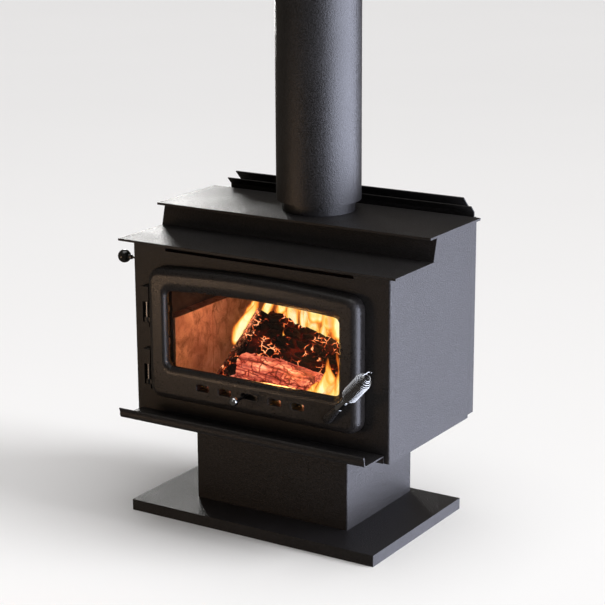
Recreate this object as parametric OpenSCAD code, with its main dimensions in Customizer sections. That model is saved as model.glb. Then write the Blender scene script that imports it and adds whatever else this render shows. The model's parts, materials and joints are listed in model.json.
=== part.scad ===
// Free-standing wood heater: a folded base pan and pedestal, a steel firebox inside heat shields,
// a stepped top with a flue, a hinged cast door, a coil-grip door handle and two air controls.
// +X is to the right of someone facing the door, -Y is the side they stand on, +Z is up.
// The origin is on the floor, under the middle of the base.

/* [Base] */
// Width of the base pan
base_w = 592; // [480:1:700]
// Depth of the base pan
base_d = 368; // [320:1:420]
// Height of the base pan
base_h = 24; // [16:1:40]
// Thickness of folded sheet in the base, pedestal and shelf
sheet_t = 3; // [2:0.5:4]

/* [Pedestal] */
// Width of the pedestal
ped_w = 372; // [300:1:440]
// Depth of the pedestal
ped_d = 264; // [220:1:300]
// Front face of the pedestal, measured from the middle of the base
ped_front_y = -99; // [-120:1:-80]

/* [Body] */
// Width of the body across the side shields
body_w = 614; // [580:1:660]
// Front face of the body
front_y = -142; // [-160:1:-130]
// Height of the underside of the body
body_z = 203; // [160:1:240]
// Thickness of the front panel and the two top plates
plate_t = 5; // [4:0.5:6]
// Width of both top plates
top_w = 660; // [630:1:720]
// Height of the upper face of the front ledge
ledge_z = 586; // [570:1:620]
// Height of the upper face of the cooktop plate
top_z = 637; // [625:1:680]
// How far the ledge stands forward of the front panel
ledge_out = 21; // [10:1:30]
// Distance from the front face back to the cooktop plate's front edge
cooktop_set = 117; // [105:1:125]
// Depth of the cooktop plate
cooktop_d = 214; // [200:1:220]

/* [Flue] */
// Outer diameter of the flue pipe
pipe_d = 152; // [125:1:160]
// Outer diameter of the flue casing
casing_d = 178; // [170:1:200]
// Height of the flue casing's top end
casing_top_z = 1180; // [900:1:1500]
// Height of the flue casing's lower end above the cooktop
casing_gap = 23; // [10:1:40]

/* [Door] */
// Width of the cast door frame
door_w = 506; // [490:1:520]
// Height of the door's bottom edge
door_z = 258; // [254:1:262]
// Height of the crown of the door's arched top edge
door_crown_z = 545; // [538:1:550]
// Thickness of the cast door frame
door_t = 29; // [26:1:32]
// Width of the window
window_w = 414; // [390:1:420]
// How far the door opens, in degrees; used for the hinge clearances
door_swing = 105; // [60:5:105]

/* [Controls] */
// Diameter of the coil grip
grip_d = 35; // [28:1:38]
// Diameter of the ball on the door's air slide
air_ball_d = 19; // [15:1:22]
// Diameter of the ball on the side boost rod
boost_ball_d = 28; // [22:1:32]

/* [Hidden] */
$fn = 64;
HULL_FN = 32;    // for the rounds that a hull joins
CORNER_STEPS = 8;  // chords in a corner of the door's and the window's outlines
ARCH_STEPS = 24;   // chords in their shallow arches
SMALL_FN = 24;   // for screws and other small rounds
EPS = 0.01;
FIT = 0.3;       // clearance between bodies that move past each other
RUN = 0.05;      // radial running clearance of a pin in its bore

// Colours
BLACK = [0.12, 0.12, 0.12];
DARK = [0.2, 0.2, 0.21];
STEEL = [0.75, 0.75, 0.76];
BRICK = [0.72, 0.5, 0.38];
ROPE = [0.85, 0.83, 0.78];
GLASS = [0.7, 0.8, 0.85, 0.35];

// Body, derived
body_x = body_w / 2;
skin_t = 2.5;                            // side and rear heat shields
wrap_d = 18;                             // depth of the front panel's folded side returns
wrap_r = 5;                              // outer radius of that fold
box_x = 255;                             // outer face of the firebox side walls
box_rear_y = front_y + 330;
ledge_y = front_y - ledge_out;
cooktop_y = front_y + cooktop_set;
cooktop_back_y = cooktop_y + cooktop_d;
riser_t = 4;
riser_foot_y = front_y + 132;            // front face of the riser at the ledge
riser_head_y = front_y + 144.5;          // front face of the riser under the cooktop
side_end_y = front_y + 334.5;
flue_y = front_y + 238;
slot_w = 450;
slot_h = 6.5;
slot_z = ledge_z - 15.5;
mouth_x = 230;                           // half width of the firebox mouth
mouth_z0 = 276.5;
mouth_z1 = 516;
mouth_r = 22;

// Rear shields, derived
shield_y = front_y + 358;                // rear face of the inner shield
outer_shield_y = shield_y + 14;          // rear face of the outer shield
shield_z = body_z + 7;
inner_blade_tip = [front_y + 343, top_z + 18];
outer_blade_tip = [front_y + 346.5, top_z + 34];
inner_blade_x = 302;
outer_blade_x = 282.5;
standoff_x = 200;
standoff_z = [290, 560];

// Fire bricks, derived
brick_t = 30;
floor_brick_t = 25;
box_in_x = box_x - plate_t;
brick_y0 = front_y + 22;
brick_top_z = 420;
joint_gap = 0.5;

// Door, derived
door_x = door_w / 2;
door_back_y = front_y - 3;
door_front_y = door_back_y - door_t;
arch_r = 3000;
corner_r = 29;
edge_r = 17;                             // rounding of the door's outer front edge
edge_steps = 7;
window_x = window_w / 2;
window_z0 = 331;
window_crown_z = 498;
window_arch_r = 2600;
window_r = 13;
dome_side = 10;                          // how far the window's dome spreads at the front face
dome_bottom = 17;
dome_top = 22;
dome_steps = [[1, -0.5], [0.62, 1.1], [0.34, 3.4], [0.12, 7], [0, 12.5]];
glass_t = 4;
gasket_t = 1.5;
rebate = 9;                              // overlap of the glass behind the window's edge
rebate_y = door_front_y + 13;            // floor of the glass rebate
glass_y = rebate_y + gasket_t;
rope_in = 7.5;                           // from the door's outer edge to the rope
rope_w = 9;
rope_y = door_back_y - 6;
port_x = [-115, -60.5, 60.5, 115];
port_w = 30;
port_h = 13.5;
port_z = 297.5;
knob_slot_w = 40;
knob_slot_h = 11;

// Hinges, derived: a vertical pin through a fixed bracket and a lug cast on the door
pin_x = -door_x - 11;
pin_y = front_y - 14;
pin_r = 3;
hinge_tops = [491, 356.5];
knuckle_h = 32;                          // upper knuckle
notch_h = 44;
foot_h = 10;                             // lower knuckle
lug_h = 10;
lug_r = 6.5;
lug_half_t = 4;
bracket_x0 = pin_x - 11.5;
bracket_x1 = pin_x + 8;
bracket_out = 20;
bracket_back_t = 4.5;

// Handle, derived: it turns about a spindle along Y through the door's lower right corner
pivot = [188, 287];
handle_angle = 45;                       // above horizontal, to the right
handle_tilt = 16.5;                      // leaning out from the door
lever_y = door_front_y - 4;
lever_l = 47;
ferrule_l = 34;
ferrule_d = 16;
neck_l = 18;
grip_l = 60;
wire_d = 3.2;
coil_pitch = 4.4;
spindle_r = 5;

// Air slide, derived
slide_t = 3;
slide_y0 = door_back_y - 5;
slide_z0 = 285;
slide_h = 25;
slide_half_w = 136;
slide_lead = 4;                          // how much longer the slide is on its left
slide_recess_x = 158;                    // half length of the recess it runs in
slide_port_w = 22;
air_rod_x = -11;
air_rod_r = 2.7;
air_ball_y = front_y - 70;
air_rod_z = port_z + 1;

// Boost air, derived: a rod along X through the left shield works a disc valve on the firebox wall
boost_y = front_y + 30;
boost_z = 535;
boost_ball_x = -body_x - 46.5;
boost_rod_r = 2.5;
boost_open = 24;                         // how far the disc stands off its seat at rest
boost_hole_r = 17;
boost_disc_r = 23;
boost_disc_t = 3;

// ---- helpers ----

// A box between two corners
module span(x0, x1, y0, y1, z0, z1) {
  translate([x0, y0, z0]) cube([x1 - x0, y1 - y0, z1 - z0]);
}

// A flat outline drawn in X and Z, made t thick along Y from y0 backwards
module upright(y0, t) {
  translate([0, y0 + t, 0]) rotate([90, 0, 0]) linear_extrude(t) children();
}

// A flat outline drawn in Y and Z, made t thick along +X from x0
module sideways(x0, t) {
  translate([x0, 0, 0]) rotate([90, 0, 90]) linear_extrude(t) children();
}

// The same piece on the left and on the right
module both_sides() {
  children();
  mirror([1, 0, 0]) children();
}

// A rectangle with true round corners, centred
module round_rect(w, h, r, fn = $fn) {
  square([w - 2 * r, h], center = true);
  square([w, h - 2 * r], center = true);
  for (x = [-1, 1], z = [-1, 1]) translate([x * (w / 2 - r), z * (h / 2 - r)]) circle(r, $fn = fn);
}

// A rod along Y from y0 to y1
module rod_y(x, z, r, y0, y1, fn = $fn) {
  translate([x, y1, z]) rotate([90, 0, 0]) cylinder(r = r, h = y1 - y0, $fn = fn);
}

// A rod along X from x0 to x1
module rod_x(y, z, r, x0, x1, fn = $fn) {
  translate([x0, y, z]) rotate([0, 90, 0]) cylinder(r = r, h = x1 - x0, $fn = fn);
}

// A pipe along Z
module pipe_z(y, r_out, r_in, z0, z1) {
  translate([0, y, z0]) difference() {
    cylinder(r = r_out, h = z1 - z0, $fn = 96);
    translate([0, 0, -EPS]) cylinder(r = r_in, h = z1 - z0 + 2 * EPS, $fn = 96);
  }
}

// Points of an arc in X and Z
function arc_points(cx, cz, r, a0, a1, n) =
  [for (i = [0 : n]) [cx + r * cos(a0 + (a1 - a0) * i / n), cz + r * sin(a0 + (a1 - a0) * i / n)]];

// An outline with a flat foot, upright sides, round corners and a shallow arched top, in X and Z.
// hx is half its width, ra the arch's radius and rc the corners'; the arch's centre is on the middle line.
function arched(hx, foot, crown, ra, rc) = let (
    cx = hx - rc,
    lean = asin(cx / (ra - rc)),
    shoulder = crown - ra + (ra - rc) * cos(lean),
    arch = arc_points(0, crown - ra, ra, 90 - lean, 90 + lean, ARCH_STEPS))
  concat(
    arc_points(cx, foot + rc, rc, -90, 0, CORNER_STEPS),
    arc_points(cx, shoulder, rc, 0, 90 - lean, CORNER_STEPS),
    [for (i = [1 : ARCH_STEPS - 1]) arch[i]],
    arc_points(-cx, shoulder, rc, 90 + lean, 180, CORNER_STEPS),
    arc_points(-cx, foot + rc, rc, 180, 270, CORNER_STEPS));

// The door's outline, moved inwards by inset
function door_ring(inset = 0) =
  arched(door_x - inset, door_z + inset, door_crown_z - inset, arch_r - inset, corner_r - inset);

// The window's outline, spread outwards by k times the dome's widths and then by grow
function window_ring(k = 0, grow = 0) = let (side = k * dome_side + grow)
  arched(window_x + side, window_z0 - k * dome_bottom - grow, window_crown_z + k * dome_top + grow,
         window_arch_r, window_r + side);

// A solid through a row of outlines, each [distance back from the door's face, outline]
module loft(rows) {
  n = len(rows[0][1]);
  last = len(rows) - 1;
  polyhedron(
    points = [for (row = rows, p = row[1]) [p[0], door_front_y + row[0], p[1]]],
    faces = concat(
      [[for (i = [n - 1 : -1 : 0]) i]],
      [for (k = [0 : last - 1], i = [0 : n - 1]) [k * n + i, k * n + (i + 1) % n, (k + 1) * n + (i + 1) % n]],
      [for (k = [0 : last - 1], i = [0 : n - 1]) [k * n + i, (k + 1) * n + (i + 1) % n, (k + 1) * n + i]],
      [[for (i = [0 : n - 1]) last * n + i]]));
}

// The door's block, with its front edge rounded
module door_block() loft(concat(
  [for (i = [0 : edge_steps]) let (a = 90 * i / edge_steps)
    [edge_r * (1 - cos(a)), door_ring(edge_r * (1 - sin(a)))]],
  [[door_t, door_ring()]]));

// The window's domed waist, which ends in the glass rebate
module dome_cut() loft(concat(
  [for (step = dome_steps) [step[1], window_ring(step[0])]],
  [[rebate_y - door_front_y + 1, window_ring()]]));

// A sheet folded along a path of straight lines, drawn as one outline t thick
module folded(path, t) {
  for (i = [0 : len(path) - 2]) {
    d = path[i + 1] - path[i];
    translate(path[i]) rotate(atan2(d[1], d[0])) translate([0, -t / 2]) square([norm(d), t]);
  }
  for (i = [1 : len(path) - 2]) translate(path[i]) circle(t / 2, $fn = SMALL_FN);
}

// Hexagon screw head and shank along -Y, head's outer face at y
module hex_screw_y(x, y, z, head_r, head_h, shank_r, shank_l) {
  rod_y(x, z, head_r, y, y + head_h, 6);
  rod_y(x, z, shank_r, y + head_h - EPS, y + head_h + shank_l, SMALL_FN);
}

// ---- base and pedestal ----

module base_pan() {
  color(BLACK) difference() {
    translate([0, 0, base_h / 2]) cube([base_w, base_d, base_h], center = true);
    translate([0, 0, (base_h - sheet_t) / 2 - EPS])
      cube([base_w - 2 * sheet_t, base_d - 2 * sheet_t, base_h - sheet_t + 2 * EPS], center = true);
    for (p = pedestal_bolt_places()) translate([p[0], p[1], -EPS])
      cylinder(r = bolt_hole_r, h = base_h + 1, $fn = SMALL_FN);
  }
}

stiffener_w = 40;
stiffener_x = [-130, 0, 130];
module base_stiffeners() {
  color(DARK) for (x = stiffener_x) translate([x - stiffener_w / 2, -base_d / 2 + 12, 0]) difference() {
    cube([stiffener_w, base_d - 24, base_h - sheet_t]);
    translate([sheet_t, -1, sheet_t]) cube([stiffener_w - 2 * sheet_t, base_d, base_h]);
  }
}

ped_flange = 22;
bolt_r = 4;
bolt_hole_r = 4.2;
bolt_head_h = 5.5;
bolt_head_r = 7.5;
function pedestal_bolt_places() =
  [for (x = [-1, 1], y = [0.2, 0.8]) [x * (ped_w / 2 - sheet_t - 12), ped_front_y + y * ped_d]];

module pedestal_wrap() {
  h = body_z - base_h;
  color(BLACK) translate([0, 0, base_h]) difference() {
    union() {
      difference() {
        translate([0, ped_front_y + ped_d / 2, 0]) linear_extrude(h)
          round_rect(ped_w, ped_d, 4);
        translate([0, ped_front_y + ped_d / 2 + sheet_t, -1]) linear_extrude(h + 2)
          square([ped_w - 2 * sheet_t, ped_d], center = true);
      }
      both_sides() for (z = [0, h - sheet_t])
        translate([ped_w / 2 - sheet_t - ped_flange, ped_front_y + sheet_t, z])
          cube([ped_flange + EPS, ped_d - 2 * sheet_t - 2, sheet_t]);
    }
    for (p = pedestal_bolt_places()) translate([p[0], p[1], -EPS])
      cylinder(r = bolt_hole_r, h = h + 1, $fn = SMALL_FN);
    translate([-ped_w, ped_front_y + ped_d - sheet_t, -1]) cube([2 * ped_w, ped_d, h + 2]);
  }
}

module pedestal_back() {
  h = body_z - base_h;
  vent_w = 90;
  vent_h = 12;
  color(BLACK) difference() {
    span(-ped_w / 2, ped_w / 2, ped_front_y + ped_d - sheet_t, ped_front_y + ped_d, base_h, body_z);
    for (x = [-1, 1], k = [0, 1]) upright(ped_front_y + ped_d - sheet_t - 1, sheet_t + 2)
      translate([x * 70, base_h + h - 34 - k * 24]) round_rect(vent_w, vent_h, 5, SMALL_FN);
  }
}

module pedestal_bolts() {
  color(STEEL) for (p = pedestal_bolt_places()) {
    translate([p[0], p[1], base_h + sheet_t]) cylinder(r = bolt_head_r, h = bolt_head_h, $fn = 6);
    translate([p[0], p[1], base_h - sheet_t - 3]) cylinder(r = bolt_r, h = 2 * sheet_t + 3, $fn = SMALL_FN);
    translate([p[0], p[1], body_z - sheet_t - bolt_head_h])
      cylinder(r = bolt_head_r, h = bolt_head_h, $fn = 6);
    translate([p[0], p[1], body_z - sheet_t - EPS])
      cylinder(r = bolt_r, h = sheet_t + plate_t, $fn = SMALL_FN);
  }
}

// ---- firebox ----

module firebox_floor() {
  color(DARK) difference() {
    span(-box_x, box_x, front_y + plate_t, box_rear_y, body_z, body_z + plate_t);
    for (p = pedestal_bolt_places()) translate([p[0], p[1], body_z - 1])
      cylinder(r = bolt_hole_r, h = plate_t + 2, $fn = SMALL_FN);
  }
}

// Side view of what fills the body under its stepped top, between y0 and y1, from z0
module stepped_side(y0, y1, z0) {
  low = ledge_z - plate_t;
  high = top_z - plate_t;
  foot = riser_foot_y + riser_t + FIT;
  head = riser_head_y + riser_t + FIT;
  polygon([[y0, z0], [y1, z0], [y1, high], [head, high], [foot, low], [y0, low]]);
}

module firebox_side(boost_hole) {
  difference() {
    sideways(box_x - plate_t, plate_t)
      stepped_side(front_y + plate_t, box_rear_y - plate_t, body_z + plate_t);
    if (boost_hole) rod_x(boost_y, boost_z, boost_hole_r, box_x - plate_t - 1, box_x + 1);
  }
}

module firebox_side_left() color(DARK) mirror([1, 0, 0]) firebox_side(true);
module firebox_side_right() color(DARK) firebox_side(false);

module firebox_rear() {
  color(DARK) span(-box_x, box_x, box_rear_y - plate_t, box_rear_y, body_z + plate_t, top_z - plate_t);
}

module front_panel() {
  h = ledge_z - plate_t - body_z;
  color(BLACK) difference() {
    translate([0, 0, body_z]) linear_extrude(h) difference() {
      translate([0, front_y + wrap_d / 2]) union() {
        round_rect(body_w, wrap_d, wrap_r);
        translate([-body_x, 0]) square([body_w, wrap_d / 2]);
      }
      translate([-body_x + skin_t, front_y + plate_t]) square([body_w - 2 * skin_t, wrap_d]);
    }
    upright(front_y - 1, plate_t + 2) translate([0, (mouth_z0 + mouth_z1) / 2])
      round_rect(2 * mouth_x, mouth_z1 - mouth_z0, mouth_r);
    upright(front_y - 1, plate_t + 2) translate([0, slot_z])
      round_rect(slot_w, slot_h, slot_h / 2 - 1, SMALL_FN);
    for (x = shelf_bolt_x)
      rod_y(x, shelf_bolt_z, shelf_bolt_r, front_y - 1, front_y + plate_t + 1, SMALL_FN);
  }
}

// ---- outer shields ----

module side_panel() {
  sideways(body_x - skin_t, skin_t) stepped_side(front_y + wrap_d, side_end_y, body_z);
}

module side_panel_right() color(BLACK) side_panel();

module side_panel_left() {
  color(BLACK) mirror([1, 0, 0]) difference() {
    side_panel();
    rod_x(boost_y, boost_z, bush_r, body_x - skin_t - 1, body_x + 1, 48);
  }
}

spacer_y = [front_y + 90, front_y + 260];
spacer_z = [275, 535];
spacer_r = 8;
module side_spacers() {
  color(DARK) both_sides() for (y = spacer_y, z = spacer_z)
    rod_x(y, z, spacer_r, box_x, body_x - skin_t, 32);
}

// A rear shield: an upright sheet whose top is folded forwards into a deflector blade
module rear_sheet(hx, blade_x, rear_y, z0, tip) {
  bend_z = tip[1] - (rear_y - skin_t / 2 - tip[0]);
  sideways(-hx, 2 * hx) folded([[rear_y - skin_t / 2, z0], [rear_y - skin_t / 2, bend_z - 12]], skin_t);
  sideways(-blade_x, 2 * blade_x)
    folded([[rear_y - skin_t / 2, bend_z - 14], [rear_y - skin_t / 2, bend_z], tip], skin_t);
}

module rear_shield_inner() {
  tab_w = 14;
  color(BLACK) difference() {
    union() {
      rear_sheet(body_x, inner_blade_x, shield_y, shield_z, inner_blade_tip);
      both_sides() {
        span(body_x - skin_t, body_x, side_end_y, shield_y - skin_t / 2, shield_z, top_z - plate_t);
        span(body_x - 2 * skin_t, body_x - skin_t, side_end_y - tab_w, side_end_y + tab_w,
             shield_z + 20, top_z - plate_t - 20);
      }
    }
    for (x = [-1, 1], z = standoff_z) rod_y(x * standoff_x, z, 3.2, shield_y - 10, shield_y + 1, SMALL_FN);
  }
}

module rear_shield_outer() {
  color(BLACK) difference() {
    rear_sheet(outer_blade_x, outer_blade_x, outer_shield_y, shield_z + 20, outer_blade_tip);
    for (x = [-1, 1], z = standoff_z) rod_y(x * standoff_x, z, 3.2, outer_shield_y - 10, outer_shield_y + 1,
                                            SMALL_FN);
  }
}

module shield_standoffs() {
  color(STEEL) for (x = [-1, 1], z = standoff_z) {
    difference() {
      rod_y(x * standoff_x, z, 8, box_rear_y, shield_y - skin_t, 32);
      rod_y(x * standoff_x, z, 3.1, box_rear_y + 4, shield_y, SMALL_FN);
    }
    difference() {
      rod_y(x * standoff_x, z, 8, shield_y, outer_shield_y - skin_t, 32);
      rod_y(x * standoff_x, z, 3.1, shield_y - 1, outer_shield_y, SMALL_FN);
    }
  }
}

module shield_screws() {
  color(STEEL) for (x = [-1, 1], z = standoff_z) {
    rod_y(x * standoff_x, z, 3, box_rear_y + 12, outer_shield_y, SMALL_FN);
    rod_y(x * standoff_x, z, 6.5, outer_shield_y, outer_shield_y + 4.5, 6);
  }
}

// ---- top ----

module ledge_plate() {
  color(BLACK) span(-top_w / 2, top_w / 2, ledge_y, riser_foot_y + riser_t, ledge_z - plate_t, ledge_z);
}

module riser_plate() {
  hx = top_w / 2 - 1;
  color(BLACK) sideways(-hx, 2 * hx) polygon([
    [riser_foot_y, ledge_z], [riser_foot_y + riser_t, ledge_z],
    [riser_head_y + riser_t, top_z - plate_t], [riser_head_y, top_z - plate_t]]);
}

module cooktop_plate() {
  color(BLACK) difference() {
    span(-top_w / 2, top_w / 2, cooktop_y, cooktop_back_y, top_z - plate_t, top_z);
    translate([0, flue_y, top_z - plate_t - 1]) cylinder(r = pipe_d / 2 + FIT, h = plate_t + 2, $fn = 96);
  }
}

// ---- flue ----

collar_h = 30;
pipe_t = 1;
module flue_collar() {
  z1 = top_z - plate_t;
  color(DARK) {
    pipe_z(flue_y, pipe_d / 2 + 5, pipe_d / 2 + FIT, z1 - collar_h, z1);
    pipe_z(flue_y, pipe_d / 2 + 5, pipe_d / 2 - 4, z1 - collar_h - 4, z1 - collar_h + EPS);
  }
}

module flue_pipe() {
  foot = top_z - plate_t - collar_h + EPS;
  color(DARK) pipe_z(flue_y, pipe_d / 2, pipe_d / 2 - pipe_t, foot, casing_top_z + 20);
}

module flue_casing() {
  color(BLACK) pipe_z(flue_y, casing_d / 2, casing_d / 2 - pipe_t, top_z + casing_gap, casing_top_z);
}

module casing_spacers() {
  r0 = pipe_d / 2;
  r1 = casing_d / 2 - pipe_t;
  color(STEEL) for (z = [top_z + 70, casing_top_z - 40], a = [30, 150, 270])
    translate([0, flue_y, z]) rotate(a) intersection() {
      difference() {
        cylinder(r = r1, h = 20);
        translate([0, 0, -1]) cylinder(r = r0, h = 22);
      }
      translate([0, -9, -1]) cube([casing_d, 18, 30]);
    }
}

// ---- inside the firebox ----

airwash_y = front_y + 24;
airwash_z = 532;
module airwash_channel() {
  color(DARK) difference() {
    span(-box_in_x + 1, box_in_x - 1, airwash_y, airwash_y + sheet_t, airwash_z, ledge_z - plate_t);
    rod_x(boost_y, boost_z, boost_hole_r + 2, -box_x, -box_in_x + 20);
  }
}

baffle_z = 480;
baffle_t = 12;
module baffle_plate() {
  color(BRICK) span(-box_in_x + 1, box_in_x - 1, front_y + 96, box_rear_y - plate_t - 1, baffle_z,
                    baffle_z + baffle_t);
}

module baffle_rails() {
  color(DARK) both_sides() difference() {
    span(box_in_x - 22, box_in_x, front_y + 100, box_rear_y - plate_t, baffle_z - 22, baffle_z);
    span(box_in_x - 23, box_in_x - sheet_t, front_y + 99, box_rear_y, baffle_z - 23, baffle_z - sheet_t);
  }
}

function brick_rows(a, b, n) =
  [for (i = [0 : n - 1]) [a + (b - a) * i / n + joint_gap / 2, a + (b - a) * (i + 1) / n - joint_gap / 2]];

module floor_bricks() {
  z = body_z + plate_t;
  color(BRICK) for (x = brick_rows(-box_in_x + brick_t, box_in_x - brick_t, 4),
                    y = brick_rows(brick_y0, box_rear_y - plate_t - brick_t, 2))
    span(x[0], x[1], y[0], y[1], z, z + floor_brick_t);
}

module side_bricks() {
  z = body_z + plate_t;
  color(BRICK) both_sides() for (y = brick_rows(brick_y0, box_rear_y - plate_t - brick_t, 2))
    span(box_in_x - brick_t, box_in_x - joint_gap, y[0], y[1], z, brick_top_z);
}

module rear_bricks() {
  z = body_z + plate_t;
  color(BRICK) for (x = brick_rows(-box_in_x, box_in_x, 4))
    span(x[0], x[1], box_rear_y - plate_t - brick_t, box_rear_y - plate_t - joint_gap, z, brick_top_z + 30);
}

module brick_retainers() {
  color(DARK) both_sides()
    span(box_in_x - brick_t + 4, box_in_x, brick_y0 - sheet_t - joint_gap, brick_y0 - joint_gap,
         body_z + plate_t, airwash_z - 2);
}

// ---- ash shelf ----

shelf_x = 295;
shelf_z = 216.5;
shelf_tab_h = 16;
shelf_bolt_x = [-210, 0, 210];
shelf_bolt_z = shelf_z - 7;
shelf_bolt_r = 2.5;

// Side view: a tab turned down on the front panel, a level floor, and a lip that curls up and outwards
module shelf_profile() {
  r = 8;                       // middle radius of both curls
  floor_y = front_y - 68;      // where the floor ends and the first curl begins
  curl_z = shelf_z + sheet_t / 2 + r;
  turn = 100;                  // how far the first curl turns, in degrees
  back = 52;                   // how far the second curl turns the other way
  p1 = [floor_y, curl_z];
  e1 = p1 + r * [-sin(turn), -cos(turn)];
  r2 = 13;
  p2 = e1 + r2 * [-sin(turn), -cos(turn)];
  translate([front_y - sheet_t, shelf_z + sheet_t - shelf_tab_h]) square([sheet_t, shelf_tab_h]);
  translate([floor_y, shelf_z]) square([front_y - floor_y, sheet_t]);
  arc(p1, r, 270 - turn, 270);
  arc(p2, r2, 90 - turn, 90 - turn + back);
}

// A strip of sheet bent to an arc of middle radius r about c
module arc(c, r, a0, a1) {
  n = 24;
  function ring(rr, a) = c + rr * [cos(a), sin(a)];
  intersection() {
    translate(c) difference() {
      circle(r + sheet_t / 2);
      circle(r - sheet_t / 2);
    }
    polygon(concat([c], [for (i = [0 : n]) ring(3 * r, a0 + (a1 - a0) * i / n)]));
  }
}

module ash_shelf() {
  color(BLACK) difference() {
    sideways(-shelf_x, 2 * shelf_x) shelf_profile();
    for (x = shelf_bolt_x)
      rod_y(x, shelf_bolt_z, shelf_bolt_r + 0.2, front_y - 5, front_y + 1, SMALL_FN);
  }
}

module shelf_bolts() {
  color(DARK) for (x = shelf_bolt_x)
    hex_screw_y(x, front_y - sheet_t - 3, shelf_bolt_z, 4.5, 3, shelf_bolt_r, plate_t + sheet_t - 0.5);
}

// ---- hinges ----

// One fixed bracket: a back strap with an upper and a lower knuckle, joined by a web on the left
module hinge_bracket(top) {
  bottom = top - knuckle_h - notch_h - foot_h;
  out_y = front_y - bracket_out;
  difference() {
    span(bracket_x0, bracket_x1, out_y, front_y, bottom, top);
    span(bracket_x0 + 4, bracket_x1 + 1, out_y - 1, front_y - bracket_back_t, bottom + foot_h,
         top - knuckle_h);
    translate([pin_x, pin_y, bottom - 1]) cylinder(r = pin_r, h = top - bottom + 2, $fn = 48);
  }
}

module hinge_brackets() color(BLACK) for (top = hinge_tops) hinge_bracket(top);

module hinge_pins() {
  color(STEEL) for (top = hinge_tops) {
    bottom = top - knuckle_h - notch_h - foot_h;
    translate([pin_x, pin_y, bottom]) cylinder(r = pin_r, h = top - bottom, $fn = 48);
  }
}

// The lug on the door, which stands on the bracket's lower knuckle
module door_lug(top) {
  z = top - knuckle_h - notch_h + FIT;
  difference() {
    union() {
      translate([pin_x, pin_y, z]) cylinder(r = lug_r, h = lug_h, $fn = 48);
      span(pin_x, -door_x + 6, pin_y - lug_half_t, pin_y + lug_half_t, z, z + lug_h);
    }
    translate([pin_x, pin_y, z - 1]) cylinder(r = pin_r + RUN, h = lug_h + 2, $fn = 48);
  }
}

// ---- door ----

clip_places = [
  [-window_x - 2, 380, 0], [-window_x - 2, 450, 0], [window_x + 2, 380, 180], [window_x + 2, 450, 180],
  [-90, window_crown_z + 0.5, -90], [90, window_crown_z + 0.5, -90]];
clip_l = 22;
clip_w = 16;
clip_t = 2.5;
clip_y = glass_y + glass_t;

// A flat clip reaching from the frame over the glass; drawn about its screw, pointing along +X
module clip_outline() translate([clip_l / 2 - 8, 0]) round_rect(clip_l, clip_w, 4, SMALL_FN);

module at_clips() for (c = clip_places) translate([c[0], 0, c[1]]) rotate([0, -c[2], 0])
  translate([-14, 0, 0]) children();

module door_frame() {
  spindle_z = pivot[1];
  color(BLACK) difference() {
    union() {
      door_block();
      for (top = hinge_tops) door_lug(top);
    }
    dome_cut();
    upright(rebate_y, door_t) polygon(window_ring(0, rebate));
    at_clips() upright(clip_y, door_t) translate([0.5, 0]) scale(1.08) clip_outline();
    at_clips() rod_y(0, 0, 2.5, clip_y - 8, clip_y + 1, SMALL_FN);
    upright(rope_y, door_t) difference() {
      polygon(door_ring(rope_in));
      polygon(door_ring(rope_in + rope_w));
    }
    for (x = port_x) upright(door_front_y - 1, door_t + 2)
      translate([x, port_z]) round_rect(port_w, port_h, 4, 32);
    upright(door_front_y - 1, door_t + 2) translate([0, air_rod_z])
      round_rect(knob_slot_w, knob_slot_h, 4.5, 32);
    upright(slide_y0 - FIT, door_t) translate([0, slide_z0 + slide_h / 2])
      square([2 * slide_recess_x, slide_h + 1], center = true);
    rod_y(pivot[0], spindle_z, spindle_r + RUN, door_front_y - 1, door_back_y + 1, 48);
  }
}

module door_glass() {
  color(GLASS) upright(glass_y, glass_t) polygon(window_ring(0, rebate - 1));
}

module glass_gasket() {
  color(ROPE) upright(rebate_y, gasket_t) difference() {
    polygon(window_ring(0, rebate - 1));
    polygon(window_ring(0, 1.5));
  }
}

module glass_clips() {
  color(STEEL) at_clips() difference() {
    upright(clip_y, clip_t) clip_outline();
    rod_y(0, 0, 2.7, clip_y - 1, clip_y + clip_t + 1, SMALL_FN);
  }
}

module clip_screws() {
  color(STEEL) at_clips() {
    rod_y(0, 0, 2.4, clip_y - 7, clip_y + clip_t, SMALL_FN);
    rod_y(0, 0, 4.2, clip_y + clip_t, clip_y + clip_t + 3, SMALL_FN);
  }
}

module door_rope() {
  color(ROPE) upright(rope_y, front_y - FIT - rope_y) difference() {
    polygon(door_ring(rope_in + 0.2));
    polygon(door_ring(rope_in + rope_w - 0.2));
  }
}

guide_h = 9;
guide_lap = 3;
module slide_guides() {
  color(DARK) for (z = [slide_z0 - guide_h + guide_lap, slide_z0 + slide_h - guide_lap])
    span(-slide_half_w, slide_half_w, door_back_y, door_back_y + 2, z, z + guide_h);
}

// ---- handle: drawn along +X from the pivot, then tilted out and turned up ----

module in_handle_frame() {
  translate([pivot[0], lever_y, pivot[1]]) rotate([0, -handle_angle, 0]) rotate([0, 0, -handle_tilt])
    children();
}

module handle_lever() {
  root_r = 9;
  color(DARK) difference() {
    union() {
      rod_y(pivot[0], pivot[1], root_r, door_front_y - 10, door_front_y - FIT, 48);
      in_handle_frame() hull() {
        translate([2, 0, 0]) rotate([0, 90, 0]) cylinder(r = 7.5, h = 1, $fn = HULL_FN);
        translate([lever_l - 1, 0, 0]) rotate([0, 90, 0]) cylinder(r = 6.2, h = 1, $fn = HULL_FN);
        translate([lever_l * 0.45, 0, 0]) cube([4, 13, 15], center = true);
      }
    }
    rod_y(pivot[0], pivot[1], spindle_r, door_front_y - 8, door_front_y, 48);
    translate([pivot[0] - 60, door_front_y - FIT, pivot[1] - 60]) cube([120, 40, 120]);
  }
}

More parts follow.
